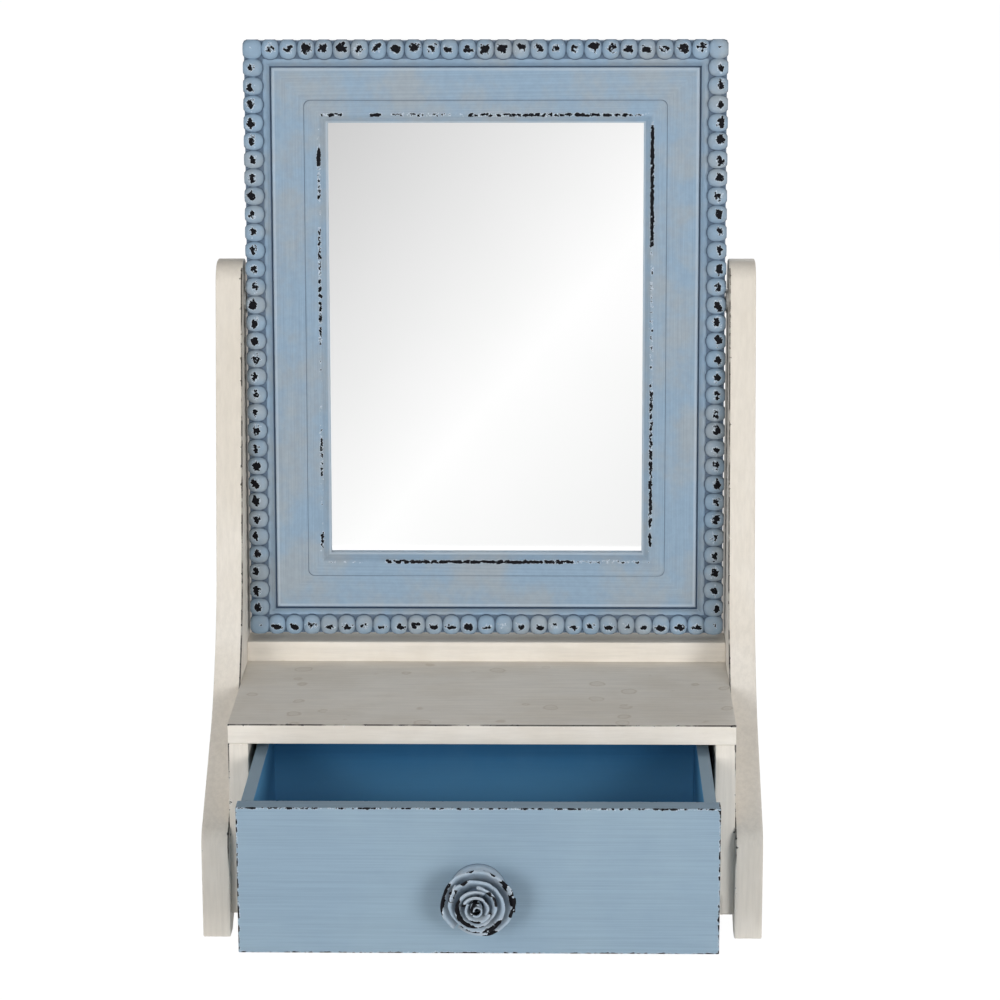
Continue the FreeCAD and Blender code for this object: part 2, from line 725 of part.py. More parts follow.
def drawer_side(name, side):
    """Side board: tongue for the front's housing, floor groove and rear fingers."""
    body = new_body(name)
    left = "side_inner" if side > 0 else "-side_outer"
    primitive(body, "AdditiveBox", "board",
              {"Length": "side_thick", "Width": "drawer_length - side_start",
               "Height": "drawer_high - drawer_low"},
              left, "drawer_y + side_start", "drawer_low")
    primitive(body, "SubtractiveBox", "shoulder",
              {"Length": "side_thick", "Width": "housing", "Height": "housing"},
              left, "drawer_y + side_start", "drawer_high - housing")
    groove = "side_inner" if side > 0 else "-side_inner - floor_groove"
    primitive(body, "SubtractiveBox", "groove",
              {"Length": "floor_groove", "Width": "drawer_length - front_thick + floor_groove",
               "Height": "floor_thick"},
              groove, "drawer_y + front_thick - floor_groove", "floor_z")
    for number in range(1, int(size("finger_count")), 2):
        primitive(body, "SubtractiveBox", f"finger_{number}",
                  {"Length": "side_thick", "Width": "side_thick", "Height": FINGER},
                  left, REAR_CORNER, f"drawer_low + {number} * {FINGER}")


def drawer_back():
    """Back board above the drawer bottom, fingered into both sides."""
    body = new_body("drawer_back")
    primitive(body, "AdditiveBox", "board",
              {"Length": "2 * side_outer", "Width": "side_thick",
               "Height": "drawer_high - floor_z - floor_thick"},
              "-side_outer", REAR_CORNER, "floor_z + floor_thick")
    for word, side in SIDES.items():
        left = "side_inner" if side > 0 else "-side_outer"
        for number in range(0, int(size("finger_count")), 2):
            primitive(body, "SubtractiveBox", f"finger_{word}_{number}",
                      {"Length": "side_thick", "Width": "side_thick", "Height": FINGER},
                      left, REAR_CORNER, f"drawer_low + {number} * {FINGER}")


drawer_front()
drawer_back()
for word, side in SIDES.items():
    drawer_side(f"drawer_side_{word}", side)
board("drawer_bottom", "-side_inner - floor_groove",
      "drawer_y + front_thick - floor_groove", "floor_z",
      "2 * (side_inner + floor_groove)", "drawer_length - front_thick + floor_groove",
      "floor_thick")


# ---------------------------------------------------------------------------
# Drawer: rose knob
# ---------------------------------------------------------------------------
def knob_rosette():
    """Turned base disc."""
    body = new_body("knob_rosette")
    primitive(body, "AdditiveCylinder", "disc",
              {"Radius": "rosette_radius", "Height": "rosette_thick"},
              "0", "drawer_y", "knob_z", TOWARDS_FRONT)
    primitive(body, "SubtractiveCylinder", "hole",
              {"Radius": "knob_screw_radius + fit", "Height": "rosette_thick"},
              "0", "drawer_y", "knob_z", TOWARDS_FRONT)


# Rings of petals from the outside in: rim radius as a share of the rose's, foot and
# rim as shares of its height, outward lean, and bearing of the first, in degrees.
PETAL_RINGS = [
    (1, 0.03, 0.55, 30, 45),
    (0.76, 0.08, 0.76, 18, 105),
    (0.48, 0.10, 0.92, 8, 30),
]
PETALS = 3             # petals in each ring
PETAL_SPREAD = 66      # half width of a petal in degrees
PETAL_TUCK = 8         # turn that slips one edge under its neighbour
OUTLINE_SHARE = 1.1    # radius of a petal's round outline over its half width
CALYX = (0.74, 0.15)   # solid foot of the rose, as shares of its radius and height
BUD = 0.2              # radius of the bud, as a share of the rose's


def petal(rim, base, top, tilt, bearing):
    """A cupped petal: a segment of a tube, cut to a round outline and leant outwards."""
    up = Vector(0, 0, 1)
    rise = top - base
    foot = rim - rise * math.sin(math.radians(tilt))
    leaf = Part.makeCylinder(foot, rise, Vector(), up, 2 * PETAL_SPREAD)
    leaf.rotate(Vector(), up, -PETAL_SPREAD)
    leaf = leaf.cut(Part.makeCylinder(foot - size("petal_thick"), rise))
    lobe = foot * math.sin(math.radians(PETAL_SPREAD)) * OUTLINE_SHARE
    crown = Part.makeCylinder(lobe, foot, Vector(0, 0, rise - lobe), Vector(1, 0, 0))
    if rise > lobe:
        crown = crown.fuse(Part.makeBox(foot, 2 * lobe, rise - lobe, Vector(0, -lobe, 0)))
    leaf = leaf.common(crown)
    leaf.rotate(Vector(), Vector(0, 1, 0), tilt)
    leaf.translate(Vector(0, 0, base))
    leaf.rotate(Vector(foot, 0, base), up, PETAL_TUCK)
    leaf.rotate(Vector(), up, bearing)
    return leaf


def rose_knob():
    """Rose of three rings of petals round a bud, flat behind and bored for its screw."""
    radius = size("rose_radius")
    height = size("rose_height")
    pieces = [Part.makeCylinder(radius * CALYX[0], height * CALYX[1]),
              Part.makeCylinder(radius * BUD, height)]
    for rim, base, top, tilt, first in PETAL_RINGS:
        for number in range(PETALS):
            pieces.append(petal(rim * radius, base * height, top * height, tilt,
                                first + number * 360 / PETALS))
    rose = pieces[0].multiFuse(pieces[1:])
    rose = rose.common(Part.makeCylinder(2 * radius, height))
    rose = rose.cut(Part.makeCylinder(size("knob_screw_radius + fit"),
                                      size("knob_screw_bite")))
    knob = doc.addObject("Part::Feature", "rose")
    knob.Shape = rose
    knob.Placement = Placement(Vector(), TOWARDS_FRONT)
    place(knob, "0", "drawer_y - rosette_thick", "knob_z")
    return keep("rose_knob", knob)


knob_rosette()
rose_knob()
HEAD = "drawer_y + front_thick"
KNOB_SHANK = "front_thick + rosette_thick + knob_screw_bite"
keep("knob_screw",
     fused([rod("knob_head_radius", "knob_head_thick", "0", HEAD, "knob_z", TOWARDS_BACK),
            rod("knob_screw_radius", KNOB_SHANK, "0", HEAD, "knob_z", TOWARDS_FRONT)],
           "knob_bolt"))


# ---------------------------------------------------------------------------
# Check and export
# ---------------------------------------------------------------------------
doc.recompute()
for item in doc.Objects:
    if {"Invalid", "Error"} & set(item.State):
        raise RuntimeError(f"{item.Label} did not recompute: {item.State}")
for name, item in parts.items():
    if item.Shape.isNull() or not item.Shape.isValid():
        raise RuntimeError(f"{name} has no valid shape")

os.makedirs("parts", exist_ok=True)
for name, item in parts.items():
    item.Shape.exportStep(f"parts/{name}.step")
    box = item.Shape.BoundBox
    print(f"{name:22s} solids {len(item.Shape.Solids)} volume {item.Shape.Volume:10.1f} "
          f"x {box.XMin:7.2f} {box.XMax:7.2f} y {box.YMin:7.2f} {box.YMax:7.2f} "
          f"z {box.ZMin:7.2f} {box.ZMax:7.2f}")
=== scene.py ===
import math
import random

import bmesh
import bpy
from mathutils import Matrix, Vector


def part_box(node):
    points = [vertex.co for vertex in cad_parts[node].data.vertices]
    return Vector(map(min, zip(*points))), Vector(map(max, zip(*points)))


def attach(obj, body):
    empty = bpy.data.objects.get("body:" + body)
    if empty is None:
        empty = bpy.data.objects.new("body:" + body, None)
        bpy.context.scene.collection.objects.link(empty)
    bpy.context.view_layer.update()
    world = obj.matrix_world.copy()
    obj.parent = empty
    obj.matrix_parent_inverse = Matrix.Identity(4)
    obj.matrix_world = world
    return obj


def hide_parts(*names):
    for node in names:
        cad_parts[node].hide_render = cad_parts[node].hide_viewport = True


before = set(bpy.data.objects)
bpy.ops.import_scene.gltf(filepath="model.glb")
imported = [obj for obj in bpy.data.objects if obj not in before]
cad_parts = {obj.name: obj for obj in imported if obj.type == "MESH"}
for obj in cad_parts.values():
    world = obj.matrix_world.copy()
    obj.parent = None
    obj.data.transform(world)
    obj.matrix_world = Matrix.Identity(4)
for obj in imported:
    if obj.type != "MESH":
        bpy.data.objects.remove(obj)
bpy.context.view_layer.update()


# ---------------------------------------------------------------------------
# Side panels.  Each is sawn from one 15 mm board: bracket feet, a swept front
# and a leaning post.  Painted a matt cream, rubbed through along its arrises.
# ---------------------------------------------------------------------------
MM = 0.001
BOX_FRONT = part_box("box_top")[0][1]          # y of the box's front
PANEL_CORNERS = [                            # y from the box front, z, rounding
    (-7, 0, 0), (-7, 57, 12), (92, 125, 120), (136, 347, 13), (165, 347, 13),
    (165, 0, 0), (151, 0, 0), (135, 10, 9), (20, 10, 9), (4, 0, 0),
]
PANEL_THICK = 15 * MM
HALF_INNER = 137 * MM                        # middle to a panel's inner face
RUBBED_ABOVE = 12 * MM                       # where a panel's inner arris is rubbed most
RUBBED_AHEAD = BOX_FRONT + 140 * MM
ARRIS_REACH = 3 * MM                         # how far rubbing reaches in from an arris
MOST_RUBBED = 1.9                            # carried where an arris is rubbed most
PANEL_SOFTENING = 0.6 * MM
CREAM = (0.785, 0.740, 0.672, 1)
CREAM_AGED = (0.640, 0.575, 0.480, 1)
CREAM_PALE = (0.880, 0.850, 0.800, 1)
CREAM_WORN = (0.030, 0.025, 0.022, 1)        # what shows where cream is rubbed through
WORN = (0.004, 0.004, 0.006, 1)              # the dark stain under the blue paint


def choose(piece):
    """Selects a piece alone and makes it the active one."""
    bpy.ops.object.select_all(action="DESELECT")
    bpy.context.view_layer.objects.active = piece
    piece.select_set(True)


def open_piece(piece):
    """Opens a piece alone in edit mode."""
    choose(piece)
    bpy.ops.object.mode_set(mode="EDIT")


def close_piece():
    bpy.ops.object.mode_set(mode="OBJECT")


def pick_all():
    bpy.ops.mesh.select_all(action="SELECT")


def face_outward():
    """Turns every normal of the open piece outwards."""
    pick_all()
    bpy.ops.mesh.normals_make_consistent(inside=False)


def begin(name, primitive, **sizes):
    """Adds a primitive at the origin under its own name and opens it."""
    bpy.ops.object.select_all(action="DESELECT")
    primitive(location=(0, 0, 0), **sizes)
    piece = bpy.context.object
    piece.name = name
    piece.data.name = name
    bpy.ops.object.mode_set(mode="EDIT")
    bpy.ops.mesh.select_mode(type="VERT")
    pick_all()
    return piece


def drawn(name, places):
    """Draws an open line of edges from place to place and selects it all."""
    piece = begin(name, bpy.ops.mesh.primitive_plane_add, size=MM)
    bpy.ops.mesh.merge(type="CENTER")
    move(places[0])
    for start, end in zip(places, places[1:]):
        bpy.ops.mesh.extrude_vertices_move(TRANSFORM_OT_translate={"value": end - start})
    pick_all()
    return piece


def pick(kind, test):
    """Selects the open mesh's vertices, edges or faces that pass the test."""
    bpy.ops.mesh.select_mode(type=kind)
    bpy.ops.mesh.select_all(action="DESELECT")
    mesh = bmesh.from_edit_mesh(bpy.context.object.data)
    items = {"VERT": mesh.verts, "EDGE": mesh.edges, "FACE": mesh.faces}[kind]
    for item in items:
        if test(item):
            item.select_set(True)
    mesh.select_flush_mode()
    bmesh.update_edit_mesh(bpy.context.object.data)


def near(item, place, reach=0.01 * MM):
    return (item.co - Vector(place)).length < reach


def sharp(edge, angle=30):
    return edge.is_manifold and edge.calc_face_angle() > math.radians(angle)


def move(offset):
    bpy.ops.transform.translate(value=offset)


def turn(angle, centre=(0, 0, 0)):
    """Turns what is selected about a line along x."""
    bpy.ops.transform.rotate(value=angle, orient_axis="X", center_override=centre)


def resize(factors, centre=(0, 0, 0)):
    bpy.ops.transform.resize(value=factors, center_override=centre)


def point_values(piece, *labels):
    """New values, all 0, that a piece's vertices carry for its material."""
    for label in labels:
        piece.data.attributes.new(label, "FLOAT", "POINT")
    return [piece.data.attributes[label].data for label in labels]


def soften(piece, width, test=sharp, most=lambda place: False):
    """Rounds the arrises of the open piece, closes it and marks them as worn."""
    pick("EDGE", test)
    bpy.ops.mesh.bevel(affect="EDGES", offset=width, segments=2, profile=0.5)
    close_piece()
    (arris,) = point_values(piece, "arris")
    for vertex in piece.data.vertices:
        if vertex.select:
            arris[vertex.index].value = MOST_RUBBED if most(vertex.co) else 1.0


def smooth(piece, angle=32):
    """Smooths what is flatter than an angle in degrees."""
    choose(piece)
    bpy.ops.object.shade_smooth_by_angle(angle=math.radians(angle))


def settle(piece, body, slot, material, *nodes):
    """Dresses a finished piece, hangs it on its body and hides the CAD nodes that it
    replaces.
    """
    piece.data.materials.clear()
    piece.data.materials.append(material)
    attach(piece, body)
    if nodes:
        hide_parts(*nodes)


def feed(tree, node, inputs):
    """Links a node's inputs to the sockets given for them, and sets the others."""
    for key, value in inputs.items():
        if isinstance(value, bpy.types.NodeSocket):
            tree.links.new(value, node.inputs[key])
        else:
            node.inputs[key].default_value = value


def add(tree, kind, inputs=None, **settings):
    """Adds a shader node with its settings and inputs."""
    made = tree.nodes.new("ShaderNode" + kind)
    for key, value in settings.items():
        setattr(made, key, value)
    feed(tree, made, inputs or {})
    return made


def mixed(tree, amount, first, second):
    """Colour between two colours."""
    node = add(tree, "Mix", {0: amount, 6: first, 7: second}, data_type="RGBA")
    return node.outputs[2]


def sums(tree, operation, first, second, third=None):
    inputs = {0: first, 1: second}
    if third is not None:
        inputs[2] = third
    return add(tree, "Math", inputs, operation=operation).outputs[0]


def ramped(tree, value, low, high, start=0.0, end=1.0):
    """Value carried smoothly from low..high to start..end."""
    return add(tree, "MapRange", {0: value, 1: low, 2: high, 3: start, 4: end},
               interpolation_type="SMOOTHSTEP").outputs[0]


def noise(tree, vector, scale, detail, rough):
    return add(tree, "TexNoise", {"Vector": vector, "Scale": scale, "Detail": detail,
                                  "Roughness": rough}).outputs["Fac"]


def new_group(name, inputs, outputs):
    """An empty shader node group with named sockets; returns its tree and both ends."""
    tree = bpy.data.node_groups.new(name, "ShaderNodeTree")
    for direction, sockets in (("INPUT", inputs), ("OUTPUT", outputs)):
        for label, (kind, default) in sockets.items():
            socket = tree.interface.new_socket(label, in_out=direction,
                                               socket_type="NodeSocket" + kind)
            if default is not None:
                socket.default_value = default
    return tree, tree.nodes.new("NodeGroupInput"), tree.nodes.new("NodeGroupOutput")


# Matt paint over dark stain: cloudy colour, brush marks, and chips with a pale rim
# wherever Edge is high enough for the noise to break through.
paint, p_in, p_out = new_group("chipped_paint", {
    "Vector": ("Vector", None), "Paint": ("Color", None), "Patch": ("Color", None),
    "Bare": ("Color", None), "Rim": ("Color", None),
    "Edge": ("Float", 0.0), "Wear": ("Float", 0.5), "Chip Scale": ("Float", 300.0),
    "Cloud Scale": ("Float", 25.0), "Cloud": ("Float", 0.5),
    "Brush": ("Vector", (1, 1, 1)), "Brush Depth": ("Float", 0.5),
}, {"Color": ("Color", None), "Roughness": ("Float", None), "Height": ("Float", None)})
given = p_in.outputs
cloud = noise(paint, given["Vector"], given["Cloud Scale"], 5.0, 0.6)
cloud = sums(paint, "MULTIPLY", ramped(paint, cloud, 0.38, 0.66), given["Cloud"])
tone = mixed(paint, cloud, given["Paint"], given["Patch"])
strokes = add(paint, "Mapping", {"Vector": given["Vector"], "Scale": given["Brush"]})
streak = noise(paint, strokes.outputs[0], 1.0, 3.0, 0.7)
streak_tone = ramped(paint, streak, 0.3, 0.7, -1.0, 1.0)
streak_tone = sums(paint, "MULTIPLY", streak_tone, given["Brush Depth"])
tone = add(paint, "HueSaturation", {
    "Value": sums(paint, "MULTIPLY_ADD", streak_tone, 0.1, 1.0),
    "Color": tone}).outputs[0]
crumb = noise(paint, given["Vector"], given["Chip Scale"], 6.0, 0.62)
broken = sums(paint, "MULTIPLY_ADD", given["Edge"], given["Wear"],
              sums(paint, "MULTIPLY_ADD", crumb, 1.3, -0.15))
chips = ramped(paint, broken, 0.96, 1.0)
rim = sums(paint, "SUBTRACT", ramped(paint, broken, 0.885, 0.955), chips)
tone = mixed(paint, sums(paint, "MULTIPLY", rim, 0.75), tone, given["Rim"])
tone = mixed(paint, chips, tone, given["Bare"])
grit = noise(paint, given["Vector"], 1400.0, 2.0, 0.5)
height = sums(paint, "MULTIPLY_ADD", chips, -1.0,
              sums(paint, "MULTIPLY_ADD", streak_tone, 0.10,
                   sums(paint, "MULTIPLY", grit, 0.12)))
rough = sums(paint, "MULTIPLY_ADD", chips, 0.12,
             sums(paint, "MULTIPLY_ADD", cloud, 0.10, 0.56))
feed(paint, p_out, {"Color": tone, "Roughness": rough, "Height": height})


def new_material(name):
    """A material with nodes; returns it, its tree, its shader and Object coordinates."""
    material = bpy.data.materials.new(name)
    material.use_nodes = True
    tree = material.node_tree
    shader = tree.nodes["Principled BSDF"]
    place = add(tree, "TexCoord").outputs["Object"]
    return material, tree, shader, place


def carried(tree, label):
    """A value that the vertices of the piece carry."""
    return add(tree, "Attribute", attribute_name=label).outputs["Fac"]


def arris_wear(tree, place):
    return carried(tree, "arris")


def painted(name, values, wear=arris_wear, finish=None):
    """A material of chipped paint; wear says where it is rubbed, and finish may work over
    its colour, with marks of its own or with painted light and shade."""
    material, tree, shader, place = new_material(name)
    group = add(tree, "Group", {"Vector": place, "Edge": wear(tree, place), **values},
                node_tree=paint)
    colour = group.outputs["Color"]
    if finish:
        colour = finish(tree, place, group, colour)
    relief = add(tree, "Bump", {"Height": group.outputs["Height"],
                                "Distance": 0.25 * MM, "Strength": 0.6})
    feed(tree, shader, {"Base Color": colour, "Roughness": group.outputs["Roughness"],
                        "Normal": relief.outputs[0], "Specular IOR Level": 0.12})
    return material


def hairline(tree, place, colour):
    """A broken dark hairline along the arrises that are rubbed most."""
    line = sums(tree, "MULTIPLY", ramped(tree, arris_wear(tree, place), 1.65, 1.88),
                ramped(tree, noise(tree, place, 70.0, 4.0, 0.6), 0.40, 0.52, 0.45, 0.90))
    return mixed(tree, line, colour, CREAM_WORN)


def cream_finish(tree, place, group, colour):
    """A little dulled by hands towards the top of the posts."""
    rise = add(tree, "SeparateXYZ", {0: place}).outputs["Z"]
    colour = mixed(tree, ramped(tree, rise, 0.10, 0.34, 0.0, 0.40), colour, CREAM_AGED)
    return hairline(tree, place, colour)


cream_paint = painted("cream_paint", {
    "Paint": CREAM, "Patch": CREAM_AGED, "Bare": CREAM_WORN, "Rim": CREAM_PALE,
    "Wear": 0.20, "Chip Scale": 330.0, "Cloud Scale": 16.0, "Cloud": 0.30,
    "Brush": (420, 420, 26), "Brush Depth": 0.45}, finish=cream_finish)


def tangent(radius, before, corner, after):
    """How far along both edges a rounding of that radius starts from its corner."""
    to_before = (before - corner).normalized()
    to_after = (after - corner).normalized()
    return radius / math.tan(to_before.angle(to_after) / 2)


def side_panel(name, side):
    """Draws the outline corner by corner, rounds its corners and gives it thickness."""
    inner = HALF_INNER * side
    corners = [Vector((inner, BOX_FRONT + y * MM, z * MM)) for y, z, _ in PANEL_CORNERS]
    piece = drawn(name, corners)
    bpy.ops.mesh.edge_face_add()
    for number, (_, _, radius) in enumerate(PANEL_CORNERS):
        if radius:
            here = corners[number]
            offset = tangent(radius * MM, corners[number - 1], here,
                             corners[(number + 1) % len(corners)])
            pick("VERT", lambda vertex: near(vertex, here))
            bpy.ops.mesh.bevel(affect="VERTICES", offset=offset, profile=0.5,
                               segments=24 if radius > 50 else 10)
    bpy.ops.mesh.select_mode(type="FACE")
    pick_all()
    for step in (ARRIS_REACH, PANEL_THICK - 2 * ARRIS_REACH, ARRIS_REACH):
        bpy.ops.mesh.extrude_region_move(
            TRANSFORM_OT_translate={"value": (side * step, 0, 0)})
    pick("FACE", lambda face: len(face.verts) > 8)
    bpy.ops.mesh.inset(thickness=ARRIS_REACH, depth=0)
    face_outward()
    outer = (inner, inner + side * PANEL_THICK)
    soften(piece, PANEL_SOFTENING,
           test=lambda edge: sharp(edge, 60) and any(
               all(abs(vertex.co.x - x) < 1e-6 for vertex in edge.verts) for x in outer),
           most=lambda place: (abs(place.x - inner) < MM and place.z > RUBBED_ABOVE
                               and place.y < RUBBED_AHEAD))
    smooth(piece)
    settle(piece, "stand", "cream_wood", cream_paint, name)


side_panel("side_panel_left", -1)
side_panel("side_panel_right", 1)


# ---------------------------------------------------------------------------
# Box.  Painted boards 11 mm thick: a top that carries the rail, two sides whose
# front ends show beside the drawer, a bottom, and a bare board nailed in behind.
# ---------------------------------------------------------------------------
BOARD_SOFTENING = 0.5 * MM
UNDER_TOP, OVER_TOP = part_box("box_top")[0][2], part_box("box_top")[1][2]
SIDE_RUBBED_ABOVE = 80 * MM                  # where a box side's arris is rubbed most
SHELF_TINT = (0.56, 0.49, 0.40, 1)


def board(name, softening=BOARD_SOFTENING, shoulder=None, reach=ARRIS_REACH,
          most=lambda place: False):
    """A board of a CAD node's size, without what it has above its shoulder: a cube cut
    a little in from each face, so that the wear of its arrises fades inwards."""
    low, high = (Vector(corner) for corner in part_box(name))
    high.z = shoulder or high.z
    piece = begin(name, bpy.ops.mesh.primitive_cube_add, size=1)
    resize(high - low)
    move((low + high) / 2)
    for axis in range(3):
        normal = Vector((0, 0, 0))
        normal[axis] = 1
        if high[axis] - low[axis] < 2.5 * reach:
            continue
        for cut in (low[axis] + reach, high[axis] - reach):
            place = (low + high) / 2
            place[axis] = cut
            pick_all()
            bpy.ops.mesh.bisect(plane_co=place, plane_no=normal)
    soften(piece, softening, most=most)
    smooth(piece)
    return piece


def shelf_finish(tree, place, group, colour):
    """Faint tan water rings on the shelf, each in a cell of its own size."""
    flat = add(tree, "VectorMath", {0: place, 1: (1, 1, 0)}, operation="MULTIPLY")
    shaken = add(tree, "VectorMath", {
        0: add(tree, "TexNoise", {"Vector": place, "Scale": 90.0}).outputs["Color"],
        1: (0.006, 0.006, 0), 2: flat.outputs[0]}, operation="MULTIPLY_ADD")
    cells = add(tree, "TexVoronoi", {"Vector": shaken.outputs[0], "Scale": 72.0})
    pick_of = add(tree, "SeparateColor", {0: cells.outputs["Color"]}).outputs
    radius = sums(tree, "MULTIPLY_ADD", pick_of["Green"], 0.22, 0.10)
    off = sums(tree, "SUBTRACT", cells.outputs["Distance"], radius)
    ring = ramped(tree, sums(tree, "ABSOLUTE", off, 0), 0.0, 0.08, 0.60, 0.0)
    wet = sums(tree, "MAXIMUM", ring, ramped(tree, off, -0.05, 0.05, 0.22, 0.0))
    rise = add(tree, "SeparateXYZ", {0: place}).outputs["Z"]
    level = sums(tree, "ABSOLUTE", sums(tree, "SUBTRACT", rise, OVER_TOP), 0)
    amount = sums(tree, "MULTIPLY", ramped(tree, pick_of["Red"], 0.58, 0.74), wet)
    amount = sums(tree, "MULTIPLY", amount, ramped(tree, level, 0.2 * MM, 0.8 * MM, 1, 0))
    return hairline(tree, place, mixed(tree, amount, colour, SHELF_TINT))


shelf_paint = painted("shelf_paint", {
    "Paint": CREAM, "Patch": CREAM_AGED, "Bare": CREAM_WORN, "Rim": CREAM_PALE,
    "Wear": 0.19, "Chip Scale": 330.0, "Cloud Scale": 22.0, "Cloud": 0.35,
    "Brush": (30, 400, 400), "Brush Depth": 0.4}, finish=shelf_finish)

top = board("box_top", most=lambda place: place.y < BOX_FRONT + MM
            and place.z > OVER_TOP - MM)
settle(top, "stand", "cream_wood", shelf_paint, "box_top")
settle(board("back_rail"), "stand", "cream_wood", shelf_paint, "back_rail")
for word in ("left", "right"):
    side = board("box_side_" + word, shoulder=UNDER_TOP,
                 most=lambda place: (abs(place.x) > HALF_INNER - MM
                                     and place.z > SIDE_RUBBED_ABOVE))
    settle(side, "stand", "cream_wood", cream_paint, "box_side_" + word)


def dress(material, *names):
    """Gives carried-over CAD nodes their material."""
    for name in names:
        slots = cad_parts[name].data.materials
        for number in range(len(slots)):
            slots[number] = material


dress(cream_paint, "box_bottom")


# Bare hardboard: brown, fibrous, a little mottled.  The box back and the backing
# of the mirror are cut from it.
def bare_board(name, light, dark, stretch):
    material, tree, shader, place = new_material(name)
    fibre = add(tree, "Mapping", {"Vector": place, "Scale": stretch})
    weave = noise(tree, fibre.outputs[0], 1.0, 8.0, 0.7)
    blotch = noise(tree, place, 30.0, 4.0, 0.6)
    colour = mixed(tree, ramped(tree, weave, 0.35, 0.65), light, dark)
    colour = mixed(tree, sums(tree, "MULTIPLY", ramped(tree, blotch, 0.4, 0.7), 0.4),
                   colour, dark)
    relief = add(tree, "Bump", {"Height": weave, "Distance": 0.2 * MM, "Strength": 0.5})
    feed(tree, shader, {"Base Color": colour, "Normal": relief.outputs[0],
                        "Roughness": ramped(tree, weave, 0.2, 0.8, 0.62, 0.85)})
    return material


hardboard = bare_board("hardboard", (0.30, 0.19, 0.10, 1), (0.20, 0.12, 0.06, 1),
                       (500, 500, 500))
softwood = bare_board("softwood", (0.62, 0.45, 0.28, 1), (0.45, 0.29, 0.15, 1),
                      (400, 12, 400))
dress(hardboard, "box_back", "backing_board")
dress(softwood, "drawer_guide_left", "drawer_guide_right")


def metal(name, grain, spread, first, second, gloss):
    """A metal whose colour and roughness both follow one noise."""
    material, tree, shader, place = new_material(name)
    fleck = noise(tree, place, *grain)
    colour = mixed(tree, ramped(tree, fleck, *spread), first, second)
    feed(tree, shader, {"Base Color": colour, "Metallic": 1.0,
                        "Roughness": ramped(tree, fleck, *gloss)})
    return material


# Zinc-plated steel of the screws, washers and framing points.
zinc = metal("zinc_steel", (700.0, 5.0, 0.7), (0.35, 0.7), (0.55, 0.55, 0.53, 1),
             (0.33, 0.33, 0.32, 1), (0.3, 0.8, 0.3, 0.55))
dress(zinc, "carcass_screws", "pivot_screws", "pivot_washers", "framing_points",
      "knob_screw")


# ---------------------------------------------------------------------------
# Mirror frame.  Four lengths of moulding mitred at the corners: a row of beads, a
# cove, a sunk flat and a raised border round the glass, painted powder blue.
# ---------------------------------------------------------------------------
FRAME_WIDTH = 271 * MM
FRAME_HEIGHT = 338 * MM
PIVOT_RISE = 191.1 * MM                      # pivot above the frame's bottom edge
PIVOT_INSET = 11 * MM                        # pivot behind the frame's front
PIVOT = Vector((0, BOX_FRONT + 147.4 * MM, 323.8 * MM))
LEAN = math.radians(4.5)
FRAME_MIDDLE = FRAME_HEIGHT / 2 - PIVOT_RISE
FLAT_DEPTH = 4.05                            # of the sunk flat, in mm
# Distance in from the outer edge and depth behind the front, in mm, once round the
# section of the moulding's body, and once round its raised border.
BODY_PROFILE = [
    (0.6, 18), (0.6, 4.0), (1.2, 3.4), (10.7, 3.4), (11.0, 4.5), (12.0, 4.75),
    (13.0, 4.3), (14.0, 3.3), (14.6, 2.65), (15.0, 2.75), (15.25, 4.5), (15.9, 4.1),
    (17.2, FLAT_DEPTH), (42, FLAT_DEPTH), (42, 18),
]
BORDER_PROFILE = [
    (33.5, 4.9), (33.55, 4.0), (33.8, 3.62), (34.3, 3.45), (34.8, 3.4), (41.3, 3.4),
    (42.2, 3.45), (42.7, 3.7), (43.3, 4.4), (46.0, 7.6), (46.5, 8.2), (46.5, 12),
    (38, 12), (38, 4.9),
]
BORDER_ROUNDING = 3.0 * MM                   # its outer corners in the frame's plane
BORDER_STEP_END = 34.9 * MM                  # inward of the step round its outer edge
MITRE_GAP = 0.06 * MM                        # half the hairline between two lengths
CUT_EVERY = 3                                # mm between cuts across a length
CUTS = 43                                    # that many each way from its middle
# Lines in mm inward: the border's inner arris, which the wear follows, and its edge on the
# glass, which carries a painted highlight;
# the crease inside the crest, which carries painted shade; and a painted highlight beside
# that.
ARRIS_LINE, GLASS_LINE, CREASE_LINE, HIGHLIGHT_LINE = 41.9, 46.2, 15.15, 16.6
# Stretches of that arris rubbed through: from, to in mm along the length, how much.
RUBBED_STRETCHES = {
    "frame_top": [(-91, -79, 0.58), (-65, -58, 0.68), (-54, -22, 0.49), (-12, 88, 0.60)],
    "frame_low": [(-58, 50, 0.66), (50, 88, 0.46)],
    "frame_left": [(97, 110, 0.74), (80, 94, 0.50), (-2, 64, 0.56), (-80, -50, 0.50),
                   (-118, -108, 0.56)],
    "frame_right": [(54, 122, 0.72), (-30, 52, 0.42), (-118, -28, 0.62)],
}
BEAD_ROUNDNESS = 0.87                        # 0 a block, 1 a ball
BEAD_ACROSS = 6.0 * MM                       # half its width across the row
BEAD_DEPTH = 4.4 * MM
BEAD_CROWN = 0.1 * MM                        # its crown behind the frame's front
BEAD_BACK = 4.3 * MM                         # its flat back behind the front
BEAD_ALONG = 0.53                            # half its length over the pitch
BEAD_INWARD = 25                             # keeps the lines beside the border off it
SPOT_REACH = 5                               # how far a rubbed spot fades, in mm
SPOT_STRAY = 0.7                             # how far it strays, in mm
RUB_FORCE = (0.84, 1.12)                     # the least and the most a bead is rubbed
BEAD_INSET = 5.35 * MM
BEADS_ACROSS = 27
BEADS_DOWN = 33
BEAD_PITCH_ACROSS = (FRAME_WIDTH - 2 * BEAD_INSET) / (BEADS_ACROSS - 1)
BEAD_PITCH_DOWN = (FRAME_HEIGHT - 2 * BEAD_INSET) / (BEADS_DOWN - 1)
BLUE = (0.256, 0.358, 0.466, 1)
